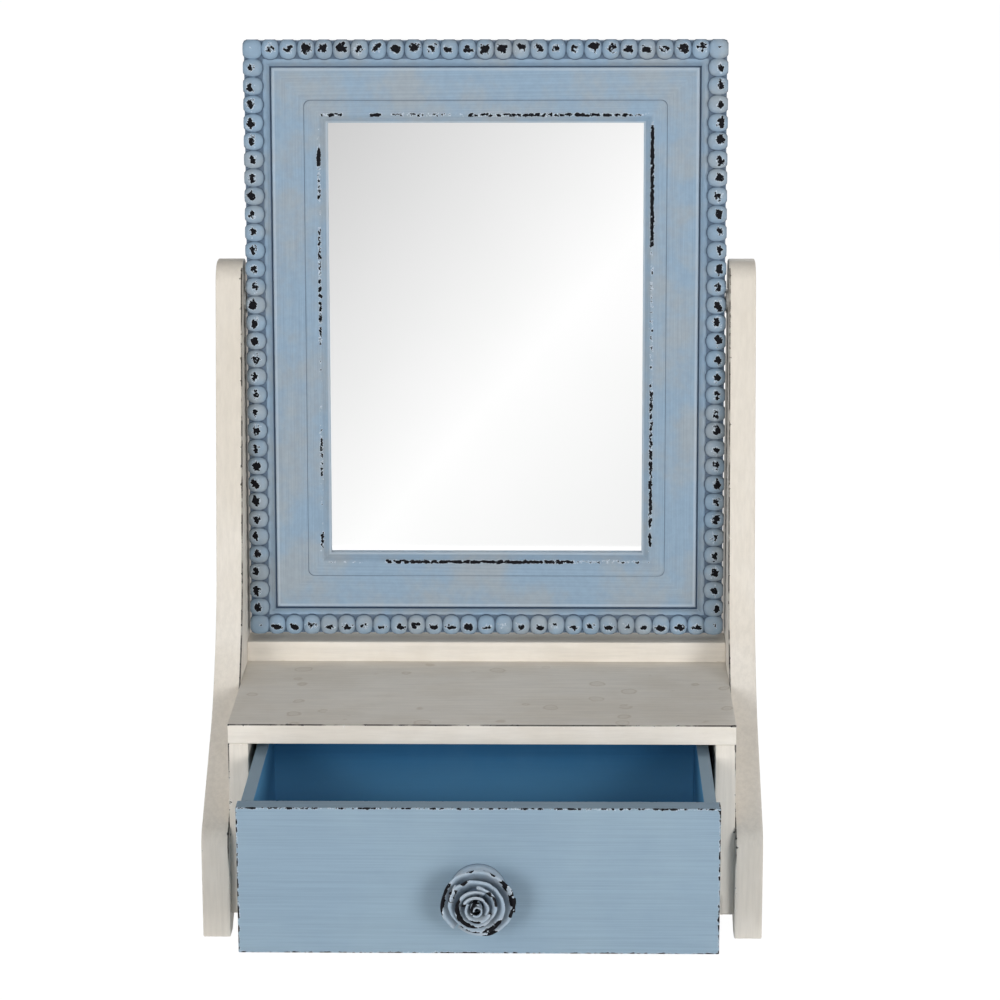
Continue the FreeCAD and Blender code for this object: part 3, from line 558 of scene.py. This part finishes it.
BLUE_GREY = (0.325, 0.365, 0.396, 1)
# also the colour of the frame's painted highlights
BLUE_PALE = (0.66, 0.74, 0.82, 1)
# the colour of the painted shade in the frame's creases and deep in the rose
BLUE_SHADE = (0.045, 0.075, 0.125, 1)


def to_inset(inward):
    """Half width and half height of the rectangle that far in from the outer edge."""
    return FRAME_WIDTH / 2 - inward * MM, FRAME_HEIGHT / 2 - inward * MM


def step_loop(start, end):
    """Extrudes the selected rectangular loop from one profile point to the next."""
    bpy.ops.mesh.extrude_edges_move(
        TRANSFORM_OT_translate={"value": (0, (end[1] - start[1]) * MM, 0)})
    (w0, h0), (w1, h1) = to_inset(start[0]), to_inset(end[0])
    resize((w1 / w0, 1, h1 / h0), (0, 0, FRAME_MIDDLE))


def moulding_ring(name, profile):
    """Carries a loop once round a profile: a closed ring with all four sides in one."""
    half_w, half_h = to_inset(profile[0][0])
    piece = begin(name, bpy.ops.mesh.primitive_plane_add, size=2)
    bpy.ops.mesh.delete(type="ONLY_FACE")
    pick_all()
    turn(math.pi / 2)
    resize((half_w, 1, half_h))
    move((0, profile[0][1] * MM, FRAME_MIDDLE))
    for start, end in zip(profile, [*profile[1:], profile[0]]):
        step_loop(start, end)
    pick_all()
    bpy.ops.mesh.remove_doubles(threshold=0.001 * MM)
    face_outward()
    close_piece()
    return piece


def is_outer_corner(vertex):
    """True at the corners of the border's stepped outer edge."""
    inward = FRAME_WIDTH / 2 - abs(vertex.co.x)
    level = FRAME_HEIGHT / 2 - abs(vertex.co.z - FRAME_MIDDLE)
    return abs(inward - level) < 1e-6 and inward < BORDER_STEP_END


def in_step_foot(level, depth):
    """True at the foot of the border's step, but not on the flat that it stands on."""
    return 33.4 < level < 37 and 3.5 < depth < 5 and abs(depth - FLAT_DEPTH) > 0.02


def joined(name, pieces):
    """Joins pieces into the first and names it."""
    bpy.ops.object.select_all(action="DESELECT")
    for piece in pieces:
        piece.select_set(True)
    bpy.context.view_layer.objects.active = pieces[0]
    bpy.ops.object.join()
    pieces[0].name = name
    pieces[0].data.name = name
    return pieces[0]


def copied(piece, name):
    """A copy with its own mesh."""
    copy = piece.copy()
    copy.data = piece.data.copy()
    copy.name = name
    copy.data.name = name
    bpy.context.collection.objects.link(copy)
    return copy


def bead(half_width, half_height, flush):
    """One bead: a block swelled towards a ball, sunk in the moulding, and cut off flat
    at the back and flush with the frame's outer edges, whose directions flush gives."""
    piece = begin("bead", bpy.ops.mesh.primitive_cube_add, size=2)
    bpy.ops.mesh.subdivide(number_cuts=4)
    bpy.ops.transform.tosphere(value=BEAD_ROUNDNESS)
    close_piece()
    reach = max(vertex.co.x for vertex in piece.data.vertices)
    open_piece(piece)
    pick_all()
    resize((half_width / reach, BEAD_DEPTH / reach, half_height / reach))
    move((0, BEAD_DEPTH + BEAD_CROWN, 0))
    bpy.ops.mesh.bisect(plane_co=(0, BEAD_BACK, 0), plane_no=(0, 1, 0), clear_outer=True,
                        use_fill=True, threshold=0.001 * MM)
    for direction in flush:
        pick_all()
        bpy.ops.mesh.bisect(plane_co=Vector(direction) * BEAD_INSET, plane_no=direction,
                            clear_outer=True, use_fill=True, threshold=0.001 * MM)
    face_outward()
    close_piece()
    return piece


luck = random.Random(11)


def bead_row(count, halves, flush, first, step, rub, spread):
    """Beads copied along an edge of the frame, each rubbed a little differently round
    a spot that lies off its middle by about rub; spread is the spot's shape."""
    piece = bead(*halves, flush)
    open_piece(piece)
    pick_all()
    first, step = Vector(first), Vector(step)
    move(first)
    for _ in range(count - 1):
        bpy.ops.mesh.duplicate_move(TRANSFORM_OT_translate={"value": step})
    close_piece()
    # sunk: depth below the crowns in mm; rubbed: 1 at the rubbed spot, 0 off the bead
    sunk, rubbed, inward = point_values(piece, "sunk", "rubbed", "inward")
    middles = [first + step * number for number in range(count)]
    spots = [middle + Vector(rub) * MM
             + Vector((luck.uniform(-SPOT_STRAY, SPOT_STRAY), 0,
                       luck.uniform(-SPOT_STRAY, SPOT_STRAY))) * MM
             for middle in middles]
    force = [luck.uniform(*RUB_FORCE) for _ in middles]
    for vertex in piece.data.vertices:
        number = min(range(count), key=lambda n: (vertex.co - middles[n]).length)
        off = vertex.co - spots[number]
        off = math.hypot(off.x / spread[0], off.z / spread[1]) / MM
        sunk[vertex.index].value = vertex.co.y / MM
        rubbed[vertex.index].value = force[number] * max(0, 1 - off / SPOT_REACH)
        inward[vertex.index].value = BEAD_INWARD
    return piece


def mitred(whole, name, corner_signs):
    """A copy of a ring cut down to one length between two mitres."""
    piece = copied(whole, name)
    open_piece(piece)
    for sign_x, sign_z, keep in corner_signs:
        corner = Vector((sign_x * FRAME_WIDTH / 2, 0,
                         FRAME_MIDDLE + sign_z * FRAME_HEIGHT / 2))
        normal = Vector((sign_x, 0, -sign_z)).normalized() * keep
        pick_all()
        bpy.ops.mesh.bisect(plane_co=corner - normal * MITRE_GAP, plane_no=normal,
                            clear_outer=True)
    pick_all()
    bpy.ops.mesh.fill_holes(sides=0)
    face_outward()
    close_piece()
    return piece


rings = [moulding_ring("body", BODY_PROFILE), moulding_ring("border", BORDER_PROFILE)]
open_piece(rings[1])
pick("EDGE", lambda edge: edge.calc_length() < 3 * MM
     and all(is_outer_corner(vertex) for vertex in edge.verts))
bpy.ops.mesh.bevel(affect="EDGES", offset=BORDER_ROUNDING, segments=6, profile=0.5)
close_piece()
# For each length, the signs of its two corners and which side of the mitre it keeps.
LENGTHS = {"frame_top": [(-1, 1, 1), (1, 1, 1)], "frame_low": [(-1, -1, 1), (1, -1, 1)],
           "frame_left": [(-1, -1, -1), (-1, 1, -1)],
           "frame_right": [(1, -1, -1), (1, 1, -1)]}
lengths = {name: joined(name, [mitred(ring, name, signs) for ring in rings])
           for name, signs in LENGTHS.items()}
for ring in rings:
    bpy.data.objects.remove(ring)

EDGE_X = FRAME_WIDTH / 2 - BEAD_INSET
TOP_Z = FRAME_MIDDLE + FRAME_HEIGHT / 2 - BEAD_INSET
LOW_Z = FRAME_MIDDLE - FRAME_HEIGHT / 2 + BEAD_INSET
beads = {}
for name, z, rub, spread in (("frame_top", TOP_Z, (0, 0, 0.4), (1.12, 1.0)),
                             ("frame_low", LOW_Z, (0, 0, -0.5), (1.15, 0.75))):
    beads[name] = [bead_row(BEADS_ACROSS - 2,
                            (BEAD_ALONG * BEAD_PITCH_ACROSS, BEAD_ACROSS),
                            [(0, 0, math.copysign(1, z - FRAME_MIDDLE))],
                            (-EDGE_X + BEAD_PITCH_ACROSS, 0, z),
                            (BEAD_PITCH_ACROSS, 0, 0), rub, spread)]
for name, out in (("frame_left", -1), ("frame_right", 1)):
    beads[name] = [bead_row(BEADS_DOWN - 2, (BEAD_ACROSS, BEAD_ALONG * BEAD_PITCH_DOWN),
                            [(out, 0, 0)],
                            (out * EDGE_X, 0, LOW_Z + BEAD_PITCH_DOWN),
                            (0, 0, BEAD_PITCH_DOWN), (out * 0.8, 0, 0), (0.85, 1.15))]
    for z, up in ((TOP_Z, 1), (LOW_Z, -1)):
        beads[name].append(bead_row(1, (BEAD_ACROSS, BEAD_ACROSS),
                                    [(out, 0, 0), (0, 0, up)], (out * EDGE_X, 0, z),
                                    (0, 0, 0), (0, 0, 0), (0.5, 0.6)))


def frame_wear(tree, place):
    """Rubbed crowns of the beads, and the border's inner arris where it is rubbed."""
    rubbed = carried(tree, "rubbed")
    arris = carried(tree, "arris")
    front = carried(tree, "front")
    inward = carried(tree, "inward")
    off = sums(tree, "ABSOLUTE", sums(tree, "SUBTRACT", inward, ARRIS_LINE), 0)
    line = sums(tree, "MULTIPLY", arris, ramped(tree, off, 0.3, 2.4, 1.0, 0.0))
    return sums(tree, "MAXIMUM", rubbed, sums(tree, "MULTIPLY", line, front))


def frame_strokes_and_painted_light(tree, place, group, colour):
    """Strokes along each length; painted shade in the crease, between and under the beads
    and at the foot of the border's step;
    and painted highlights beside the crease and along the glass."""
    inward = carried(tree, "inward")
    sunk = carried(tree, "sunk")
    front = carried(tree, "front")
    across = add(tree, "CombineXYZ", {0: sums(tree, "MULTIPLY", inward, 1.7)})
    along = add(tree, "VectorMath", {0: place, 1: (24, 24, 24), 2: across.outputs[0]},
                operation="MULTIPLY_ADD")
    stroke = noise(tree, along.outputs[0], 1.0, 4.0, 0.65)
    colour = add(tree, "HueSaturation", {
        "Value": ramped(tree, stroke, 0.28, 0.72, 1.08, 0.94),
        "Color": colour}).outputs[0]

    def beside(line, near_by, far, amount):
        """A line that far in, fading from near_by to far on both its sides."""
        off = sums(tree, "ABSOLUTE", sums(tree, "SUBTRACT", inward, line), 0)
        return sums(tree, "MULTIPLY", front,
                    ramped(tree, off, near_by, far, amount, 0.0))

    # Painted highlights beside the crease and along the border's edge on the glass.
    painted_highlight = sums(tree, "MAXIMUM", beside(HIGHLIGHT_LINE, 0.2, 1.2, 0.28),
                beside(GLASS_LINE, 0.3, 0.9, 0.4))
    colour = mixed(tree, painted_highlight, colour, BLUE_PALE)
    # Painted shade: on the bed under and between the beads, down the beads' deeper sides, at
    # the foot of the border's step and in the crease inside the crest.
    trough_shade = sums(tree, "MULTIPLY", front,
                  ramped(tree, inward, 10.5, 11.1, 0.75, 0.0))
    valley_shade = ramped(tree, sunk, 1.9, 3.6, 0.0, 0.90)
    painted_shade = sums(tree, "MAXIMUM", sums(tree, "MAXIMUM", trough_shade, valley_shade),
                beside(CREASE_LINE, 0.2, 0.75, 0.95))
    return mixed(tree, painted_shade, colour, BLUE_SHADE)


frame_paint = painted("frame_paint", {
    "Paint": BLUE, "Patch": BLUE_GREY, "Bare": WORN, "Rim": BLUE_PALE, "Wear": 0.92,
    "Chip Scale": 420.0, "Cloud Scale": 34.0, "Cloud": 0.8, "Brush": (240, 240, 240),
    "Brush Depth": 0.35}, wear=frame_wear, finish=frame_strokes_and_painted_light)

NODES = {"frame_top": "frame_rail_top", "frame_low": "frame_rail_bottom",
         "frame_left": "frame_stile_left", "frame_right": "frame_stile_right"}
for name, piece in lengths.items():
    # Cut across all along, so that the rubbed stretches can start and stop.
    flat = name in ("frame_top", "frame_low")
    direction = Vector((1, 0, 0) if flat else (0, 0, 1))
    middle = Vector((0, 0, FRAME_MIDDLE))
    open_piece(piece)
    for number in range(-CUTS, CUTS + 1):
        pick_all()
        bpy.ops.mesh.bisect(plane_co=middle + direction * CUT_EVERY * number * MM,
                            plane_no=direction)
    close_piece()
    arris, inward, sunk, front = point_values(piece, "arris", "inward", "sunk", "front")
    for vertex in piece.data.vertices:
        level = min(FRAME_WIDTH / 2 - abs(vertex.co.x),
                    FRAME_HEIGHT / 2 - abs(vertex.co.z - FRAME_MIDDLE)) / MM
        inward[vertex.index].value = level
        depth = vertex.co.y / MM
        # front: 1 on the moulding, 0 on the frame's outer sides and back
        front[vertex.index].value = 1.0 if level > 1.0 and depth < 11 else 0.0
        # The foot of the border's step takes a bead valley's depth, so that it gets the same
        # painted shade.
        if in_step_foot(level, depth):
            sunk[vertex.index].value = 3.0
        along = direction.dot(vertex.co - middle) / MM
        arris[vertex.index].value = max(
            (much for start, end, much in RUBBED_STRETCHES[name]
             if start <= along <= end), default=0.30)
    piece = joined(name, [piece, *beads[name]])
    open_piece(piece)
    pick_all()
    move((PIVOT.x, PIVOT.y - PIVOT_INSET, PIVOT.z))
    turn(LEAN, PIVOT)
    close_piece()
    smooth(piece, 40)
    settle(piece, "mirror", "blue_frame_wood", frame_paint, NODES[name])


# ---------------------------------------------------------------------------
# Mirror glass.  Silvered float glass, with a faint haze that only its gloss shows.
# ---------------------------------------------------------------------------
silver = metal("mirror_silver", (12.0, 3.0, 0.5), (0.3, 0.7), (0.965, 0.97, 0.965, 1),
               (0.98, 0.98, 0.98, 1), (0.3, 0.7, 0.012, 0.03))
dress(silver, "mirror_glass")


# ---------------------------------------------------------------------------
# Drawer.  A painted box: fingered sides and back, a thin bottom, and a thicker
# front whose arrises are rubbed through to the dark stain.
# ---------------------------------------------------------------------------
DRAWER_BLUE = (0.272, 0.371, 0.454, 1)
DRAWER_PATCH = (0.240, 0.335, 0.430, 1)
# The inside's blues are painted light and shade: a darker copy of the drawer's blue for its
# shade, and a lighter one where it is painted as lit.
INSIDE_SHADED_BLUE = (0.020, 0.114, 0.248, 1)
INSIDE_LIT_BLUE = (0.120, 0.355, 0.600, 1)
INSIDE_SHADED_PATCH = (0.060, 0.165, 0.300, 1)
LIGHT_BACK = 155 * MM                        # how far back the painted light fades out
LIGHT_FROM, LIGHT_FULL = 9 * MM, 42 * MM     # and how far down it fades in
SIDE_FRONT, SIDE_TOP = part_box("drawer_side_left")[0][1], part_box("drawer_side_left")[1][2]
SIDE_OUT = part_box("drawer_side_right")[1][0]
PAINT_IN, PAINT_FULL = 0.8 * MM, 0.3 * MM    # how far in the front's blue fades

drawer_paint = painted("drawer_paint", {
    "Paint": DRAWER_BLUE, "Patch": DRAWER_PATCH, "Bare": WORN, "Rim": BLUE_PALE,
    "Wear": 0.48, "Chip Scale": 420.0, "Cloud Scale": 14.0, "Cloud": 0.6,
    "Brush": (14, 420, 1900), "Brush Depth": 0.6})


def inside_painted_light(tree, place, group, colour):
    """Painted light towards the front and the bottom of the inside, over the painted shade
    of its darker blue;
    the sides' upper edges and outer faces keep the front's own blue."""
    split = add(tree, "SeparateXYZ", {0: place})
    onward = ramped(tree, split.outputs["Y"], SIDE_FRONT, SIDE_FRONT + LIGHT_BACK,
                    1.0, 0.0)
    down = ramped(tree, split.outputs["Z"], SIDE_TOP - LIGHT_FULL,
                  SIDE_TOP - LIGHT_FROM, 0.80, 0.0)
    colour = mixed(tree, sums(tree, "MAXIMUM", onward, down), colour, INSIDE_LIT_BLUE)
    edge = ramped(tree, split.outputs["Z"], SIDE_TOP - PAINT_IN, SIDE_TOP - PAINT_FULL)
    across = sums(tree, "ABSOLUTE", split.outputs["X"], 0.0)
    outside = ramped(tree, across, SIDE_OUT - PAINT_IN, SIDE_OUT - PAINT_FULL)
    return mixed(tree, sums(tree, "MAXIMUM", edge, outside), colour, DRAWER_BLUE)


# The inside of the drawer: its blue painted in shade, with painted light towards the front
# and bottom.
inside_shaded_paint = painted("inside_shaded_paint", {
    "Paint": INSIDE_SHADED_BLUE, "Patch": INSIDE_SHADED_PATCH, "Bare": WORN, "Rim": BLUE_PALE,
    "Wear": 0.4, "Chip Scale": 360.0, "Cloud Scale": 14.0, "Cloud": 0.4,
    "Brush": (14, 30, 620), "Brush Depth": 0.5}, finish=inside_painted_light)

settle(board("drawer_front", 0.6 * MM, reach=1.9 * MM), "drawer", "blue_drawer_wood",
       drawer_paint, "drawer_front")
dress(inside_shaded_paint, "drawer_side_left", "drawer_side_right", "drawer_back",
      "drawer_bottom")


# ---------------------------------------------------------------------------
# Knob.  A cast resin rose on a turned disc, painted like the drawer and rubbed
# dark along the rims of its petals; a screw from inside the drawer holds it.
# ---------------------------------------------------------------------------
DRAWER_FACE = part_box("drawer_front")[0][1]
KNOB_Z = (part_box("knob_rosette")[0][2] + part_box("knob_rosette")[1][2]) / 2
ROSETTE_RADIUS = 14.7 * MM
ROSETTE_THICK = 4.5 * MM
ROSETTE_ROUNDING = 1.9 * MM
HEART_RADIUS = 9.5 * MM
HEART_STEPS = [(0.5, 1.5), (2, 3), (2, 3), (2.2, 2.5)]      # in and up, in mm
# Rows of a petal from its foot to its curled rim, as (radius, height) in mm.
OUTER_ROWS = [(8.0, 3.5), (11.6, 7.8), (14.4, 11.4), (16.4, 13.8), (17.4, 14.7),
              (18.1, 14.6), (18.3, 14.0)]
SECOND_ROWS = [(5.8, 7.5), (8.8, 12.3), (11.0, 15.9), (12.5, 18.2), (13.4, 19.0),
               (14.0, 18.9), (14.2, 18.3)]
THIRD_ROWS = [(4.2, 11.5), (6.5, 16.2), (8.0, 19.4), (9.0, 21.4), (9.7, 22.1),
              (10.2, 22.0), (10.4, 21.4)]
HEART_ROWS = [(2.6, 13.5), (4.0, 18.2), (5.0, 21.4), (5.7, 23.3), (6.2, 23.9),
              (6.6, 23.8), (6.8, 23.2)]
# Petals: rows, middle bearing and half spread in degrees, how much wider one end
# stands than the other, how far the rim's corners drop in mm, and how rubbed it is.
PETALS = [
    (OUTER_ROWS, 152, 78, 0.06, 2.0, 1.15), (OUTER_ROWS, 42, 58, -0.07, 1.6, 1.7),
    (OUTER_ROWS, 300, 68, 0.08, 2.0, 1.05),
    (SECOND_ROWS, 196, 62, -0.12, 1.8, 1.0), (SECOND_ROWS, 100, 58, 0.10, 2.0, 0.9),
    (SECOND_ROWS, 352, 66, -0.10, 1.8, 1.3), (SECOND_ROWS, 268, 56, 0.09, 1.8, 0.95),
    (THIRD_ROWS, 140, 78, 0.14, 1.6, 1.3), (THIRD_ROWS, 18, 74, 0.14, 1.6, 1.3),
    (THIRD_ROWS, 262, 72, -0.14, 1.6, 1.25),
    (HEART_ROWS, 66, 104, 0.18, 1.2, 1.1), (HEART_ROWS, 248, 100, 0.16, 1.2, 1.1),
]
PETAL_COLUMNS = 14
PETAL_WALL = 0.85 * MM
WAVER = 0.025                                # how unevenly a petal opens
RAGGED = 0.25                                # how uneven its rim is, in mm
LIP_FROM, LIP_FADE = 0.86, 0.12              # where rubbing starts, over its radius
BUD_TURNS = 1.35
BUD_BEARING = 70                             # where its spiral starts, in degrees
BUD_LOOSE, BUD_WINDS = 0.35, 0.75            # how far it opens, and how far it winds in
BUD_ROWS = [(2.2, 11), (2.7, 16), (2.8, 20), (2.7, 23), (2.5, 25.4), (2.9, 26.1)]
BUD_COLUMNS = 26
shake = random.Random(5)


def curl(name, bearings, spiral, rows, drop, rub):
    """A petal or bud: the foot is drawn point by point along its curve, and the wall is
    extruded up from it row by row, opening outwards to a curled rim."""
    foot, height = rows[0][0] * MM, rows[0][1] * MM
    places = [Vector((math.cos(angle), math.sin(angle), 0)) * foot * (1 + swell)
              + Vector((0, 0, height)) for angle, swell in zip(bearings, spiral)]
    piece = drawn(name, places)
    for (r0, h0), (r1, h1) in zip(rows, rows[1:]):
        bpy.ops.mesh.extrude_edges_move(
            TRANSFORM_OT_translate={"value": (0, 0, (h1 - h0) * MM)})
        resize((r1 / r0, r1 / r0, 1))
    top = rows[-2][1] * MM
    last = len(bearings) - 1
    for column, (angle, swell) in enumerate(zip(bearings, spiral)):
        share = abs(2 * column / last - 1) ** 3
        wave = 1 + shake.uniform(-WAVER, WAVER)
        lower = 1 - (drop * share + shake.uniform(-RAGGED, RAGGED)) * MM / (top - height)
        direction = Vector((math.cos(angle), math.sin(angle), 0))

        def in_column(vertex):
            flat = Vector((vertex.co.x, vertex.co.y, 0))
            row = min(rows, key=lambda r: abs(r[1] * MM - vertex.co.z))
            reach = row[0] * MM * (1 + swell)
            return (flat - direction * reach).length < 0.05 * MM

        pick("VERT", in_column)
        resize((wave, wave, lower), (0, 0, height))
    close_piece()
    # lip: 1 along the rim, fading down; the shade weight: 1 at the foot, fading up, where
    # painted shade darkens the petal
    lip, shade_weight = point_values(piece, "lip", "shade_weight")
    for vertex in piece.data.vertices:
        rise = (vertex.co.z - height) / (top - height)
        away = Vector((vertex.co.x, vertex.co.y)).length / (rows[-2][0] * MM)
        shade_weight[vertex.index].value = max(0.0, 1 - rise)
        lip[vertex.index].value = rub * min(1.0, max(0.0, (away - LIP_FROM) / LIP_FADE))
    choose(piece)
    wall = piece.modifiers.new("wall", "SOLIDIFY")
    wall.thickness = PETAL_WALL
    wall.offset = 0
    soft = piece.modifiers.new("soft", "SUBSURF")
    soft.levels = soft.render_levels = 2
    for modifier in (wall, soft):
        bpy.ops.object.modifier_apply(modifier=modifier.name)
    open_piece(piece)
    face_outward()
    close_piece()
    return piece


def turned_into_place(piece, rise=0):
    """Raises a knob piece that was drawn upright, and turns it onto the drawer."""
    open_piece(piece)
    pick_all()
    move((0, 0, rise))
    turn(-math.pi / 2)
    move((0, DRAWER_FACE, KNOB_Z))
    close_piece()


rose_pieces = []
steps = [2 * column / PETAL_COLUMNS - 1 for column in range(PETAL_COLUMNS + 1)]
for rows, middle, spread, lead, drop, rub in PETALS:
    bearings = [math.radians(middle + spread * step) for step in steps]
    rose_pieces.append(curl("petal", bearings, [lead * step for step in steps],
                            rows, drop, rub))
steps = [column / BUD_COLUMNS for column in range(BUD_COLUMNS + 1)]
bearings = [math.radians(BUD_BEARING + 360 * BUD_TURNS * step) for step in steps]
spiral = [BUD_LOOSE - BUD_WINDS * step for step in steps]
rose_pieces.append(curl("bud", bearings, spiral, BUD_ROWS, 0.3, 0.9))

# The heart that carries the petals: a short turned stem, widened under them.
heart = begin("heart", bpy.ops.mesh.primitive_cylinder_add, vertices=40,
              radius=HEART_RADIUS, depth=2 * MM)
move((0, 0, 1 * MM))
pick("FACE", lambda face: face.normal.z > 0.9)
for step_in, rise in HEART_STEPS:
    bpy.ops.mesh.extrude_region_move(TRANSFORM_OT_translate={"value": (0, 0, rise * MM)})
    bpy.ops.mesh.inset(thickness=step_in * MM, depth=0)
close_piece()
# The whole heart, down under the petals, takes painted shade.
_, shade_weight = point_values(heart, "lip", "shade_weight")
for vertex in heart.data.vertices:
    shade_weight[vertex.index].value = 1.0
rose_pieces.append(heart)
rose = joined("rose", rose_pieces)
turned_into_place(rose, ROSETTE_THICK)
smooth(rose, 60)


def lip_wear(tree, place):
    """Rims of the petals, rubbed in stretches."""
    lip = carried(tree, "lip")
    stretch = noise(tree, place, 95.0, 1.0, 0.5)
    return sums(tree, "MULTIPLY", lip, ramped(tree, stretch, 0.44, 0.56, 0.35, 1.0))


def resin_painted_shade(tree, place, group, colour):
    """Painted shade deep between the petals, over the heart under them and round the foot of
    the disc.
    """
    shade_weight = carried(tree, "shade_weight")
    return mixed(tree, ramped(tree, shade_weight, 0.40, 0.95, 0.0, 0.8), colour, BLUE_SHADE)


resin_paint = painted("resin_paint", {
    "Paint": (0.345, 0.435, 0.525, 1), "Patch": (0.400, 0.440, 0.480, 1), "Bare": WORN,
    "Rim": BLUE_PALE, "Wear": 0.66, "Chip Scale": 300.0, "Cloud Scale": 90.0,
    "Cloud": 0.6, "Brush": (300, 300, 300), "Brush Depth": 0.4},
    wear=lip_wear, finish=resin_painted_shade)
settle(rose, "drawer", "blue_resin", resin_paint, "rose_knob")

disc = begin("rosette", bpy.ops.mesh.primitive_cylinder_add, vertices=72,
             radius=ROSETTE_RADIUS, depth=ROSETTE_THICK)
move((0, 0, ROSETTE_THICK / 2))
pick("EDGE", lambda edge: sharp(edge, 60) and all(
    vertex.co.z > ROSETTE_THICK / 2 for vertex in edge.verts))
bpy.ops.mesh.bevel(affect="EDGES", offset=ROSETTE_ROUNDING, segments=5, profile=0.5)
close_piece()
# A painted contact shadow round the foot of the disc, where it meets the drawer.
_, shade_weight = point_values(disc, "lip", "shade_weight")
for vertex in disc.data.vertices:
    shade_weight[vertex.index].value = 1.0 if vertex.co.z < 0.1 * MM else 0.0
turned_into_place(disc)
smooth(disc, 40)
settle(disc, "drawer", "blue_resin", resin_paint, "knob_rosette")


# ---------------------------------------------------------------------------
# Studio: floor, soft lamps, white surround and the camera.
# ---------------------------------------------------------------------------
def seen_straight(tree):
    """1 for rays from the camera, from gloss and through glass, and 0 for others."""
    rays = add(tree, "LightPath").outputs
    return sums(tree, "MAXIMUM", rays["Is Camera Ray"],
                sums(tree, "MAXIMUM", rays["Is Glossy Ray"], rays["Is Transmission Ray"]))


WHITE = (1, 1, 1, 1)
FLOOR_SIZE = 12.0
FLOOR_DROP = 0.0002                          # so that the feet never share its plane
FLOOR_GLOW = 1.13
GLOW_SHARE = 0.87                            # of the glow in what rays see straight
CARD_PLACE = (0, -1.75, 1.0)
floor = begin("studio_floor", bpy.ops.mesh.primitive_plane_add, size=FLOOR_SIZE)
move((0, 0, -FLOOR_DROP))
close_piece()
floor_material, floor_tree, floor_shader, _ = new_material("studio_floor")
feed(floor_tree, floor_shader, {"Base Color": (0.9, 0.9, 0.9, 1), "Roughness": 0.9,
                                "Specular IOR Level": 0.0})
glow = add(floor_tree, "Emission", {"Color": WHITE, "Strength": FLOOR_GLOW})
share = sums(floor_tree, "MULTIPLY", seen_straight(floor_tree), GLOW_SHARE)
both = add(floor_tree, "MixShader", {0: share, 1: floor_shader.outputs[0],
                                     2: glow.outputs[0]})
feed(floor_tree, floor_tree.nodes["Material Output"], {"Surface": both.outputs[0]})
floor.data.materials.append(floor_material)

# A pale card close behind the camera that only the glass and other gloss see: it shades
# from light grey at the upper left to white along a soft slanting line.
card = begin("studio_card", bpy.ops.mesh.primitive_plane_add, size=2)
turn(math.pi / 2)
move(CARD_PLACE)
close_piece()
card_material, card_tree, card_shader, card_place = new_material("studio_card")
card_tree.nodes.remove(card_shader)
spot = add(card_tree, "SeparateXYZ", {0: card_place})
slant = sums(card_tree, "MULTIPLY_ADD", spot.outputs["X"], 0.855,
             sums(card_tree, "MULTIPLY_ADD", spot.outputs["Z"], -0.760, 0.157))
fall = sums(card_tree, "MAXIMUM", sums(card_tree, "MULTIPLY", slant, -1.0),
            sums(card_tree, "MULTIPLY", slant, 0.45))
bright = sums(card_tree, "MAXIMUM", sums(card_tree, "SUBTRACT", 1.025, fall), 0.55)
card_glow = add(card_tree, "Emission", {"Color": WHITE, "Strength": bright})
feed(card_tree, card_tree.nodes["Material Output"], {"Surface": card_glow.outputs[0]})
card.data.materials.append(card_material)
card.visible_camera = card.visible_diffuse = card.visible_shadow = False
card.visible_transmission = False

scene = bpy.context.scene
world = bpy.data.worlds.new("studio")
scene.world = world
world.use_nodes = True
sky = world.node_tree
sky.nodes.clear()
bearing = add(sky, "SeparateXYZ", {0: add(sky, "TexCoord").outputs["Generated"]})
soft = add(sky, "Background", {"Color": WHITE, "Strength": ramped(
    sky, bearing.outputs["Z"], 0.0, 0.7, 0.60, 0.22)})
white = add(sky, "Background", {"Color": WHITE, "Strength": 1.0})
surround = add(sky, "MixShader", {0: seen_straight(sky), 1: soft.outputs[0],
                                  2: white.outputs[0]})
add(sky, "OutputWorld", {"Surface": surround.outputs[0]})

LAMP_SIZE = 0.9
LAMP_AIM = Vector((0, 0, 0.25))


def softbox(name, place, power):
    """A square area lamp aimed at the middle of the mirror's stand."""
    lamp_data = bpy.data.lights.new(name, "AREA")
    lamp_data.size = LAMP_SIZE
    lamp_data.energy = power
    lamp = bpy.data.objects.new(name, lamp_data)
    lamp.location = place
    towards = LAMP_AIM - Vector(place)
    lamp.rotation_euler = towards.to_track_quat("-Z", "Y").to_euler()
    bpy.context.collection.objects.link(lamp)


softbox("lamp_left", (-1.1, -2.0, 0.60), 19.5)
softbox("lamp_right", (1.2, -1.9, 0.57), 21.5)
softbox("lamp_back", (0.4, 1.9, 1.0), 7)

CAMERA_PLACE = (0.0392253, -1.6803516, 0.6496688)
YAW, PITCH, ROLL = 0.0175073, 0.2403515, 0.0025642
SENSOR = 36.0
FOCAL = 3.2278757                            # focal length over the sensor's width
ahead = Vector((-math.sin(YAW) * math.cos(PITCH), math.cos(YAW) * math.cos(PITCH),
                -math.sin(PITCH)))
right = Vector((math.cos(YAW), math.sin(YAW), 0))
down = ahead.cross(right)
right, down = (math.cos(ROLL) * right + math.sin(ROLL) * down,
               math.cos(ROLL) * down - math.sin(ROLL) * right)
camera_data = bpy.data.cameras.new("camera")
camera_data.sensor_width = SENSOR
camera_data.lens = SENSOR * FOCAL
camera_data.clip_end = 50
camera = bpy.data.objects.new("camera", camera_data)
bpy.context.collection.objects.link(camera)
camera.matrix_world = Matrix.Translation(CAMERA_PLACE) @ Matrix(
    (right, -down, -ahead)).transposed().to_4x4()
scene.camera = camera
scene.view_settings.view_transform = "Standard"
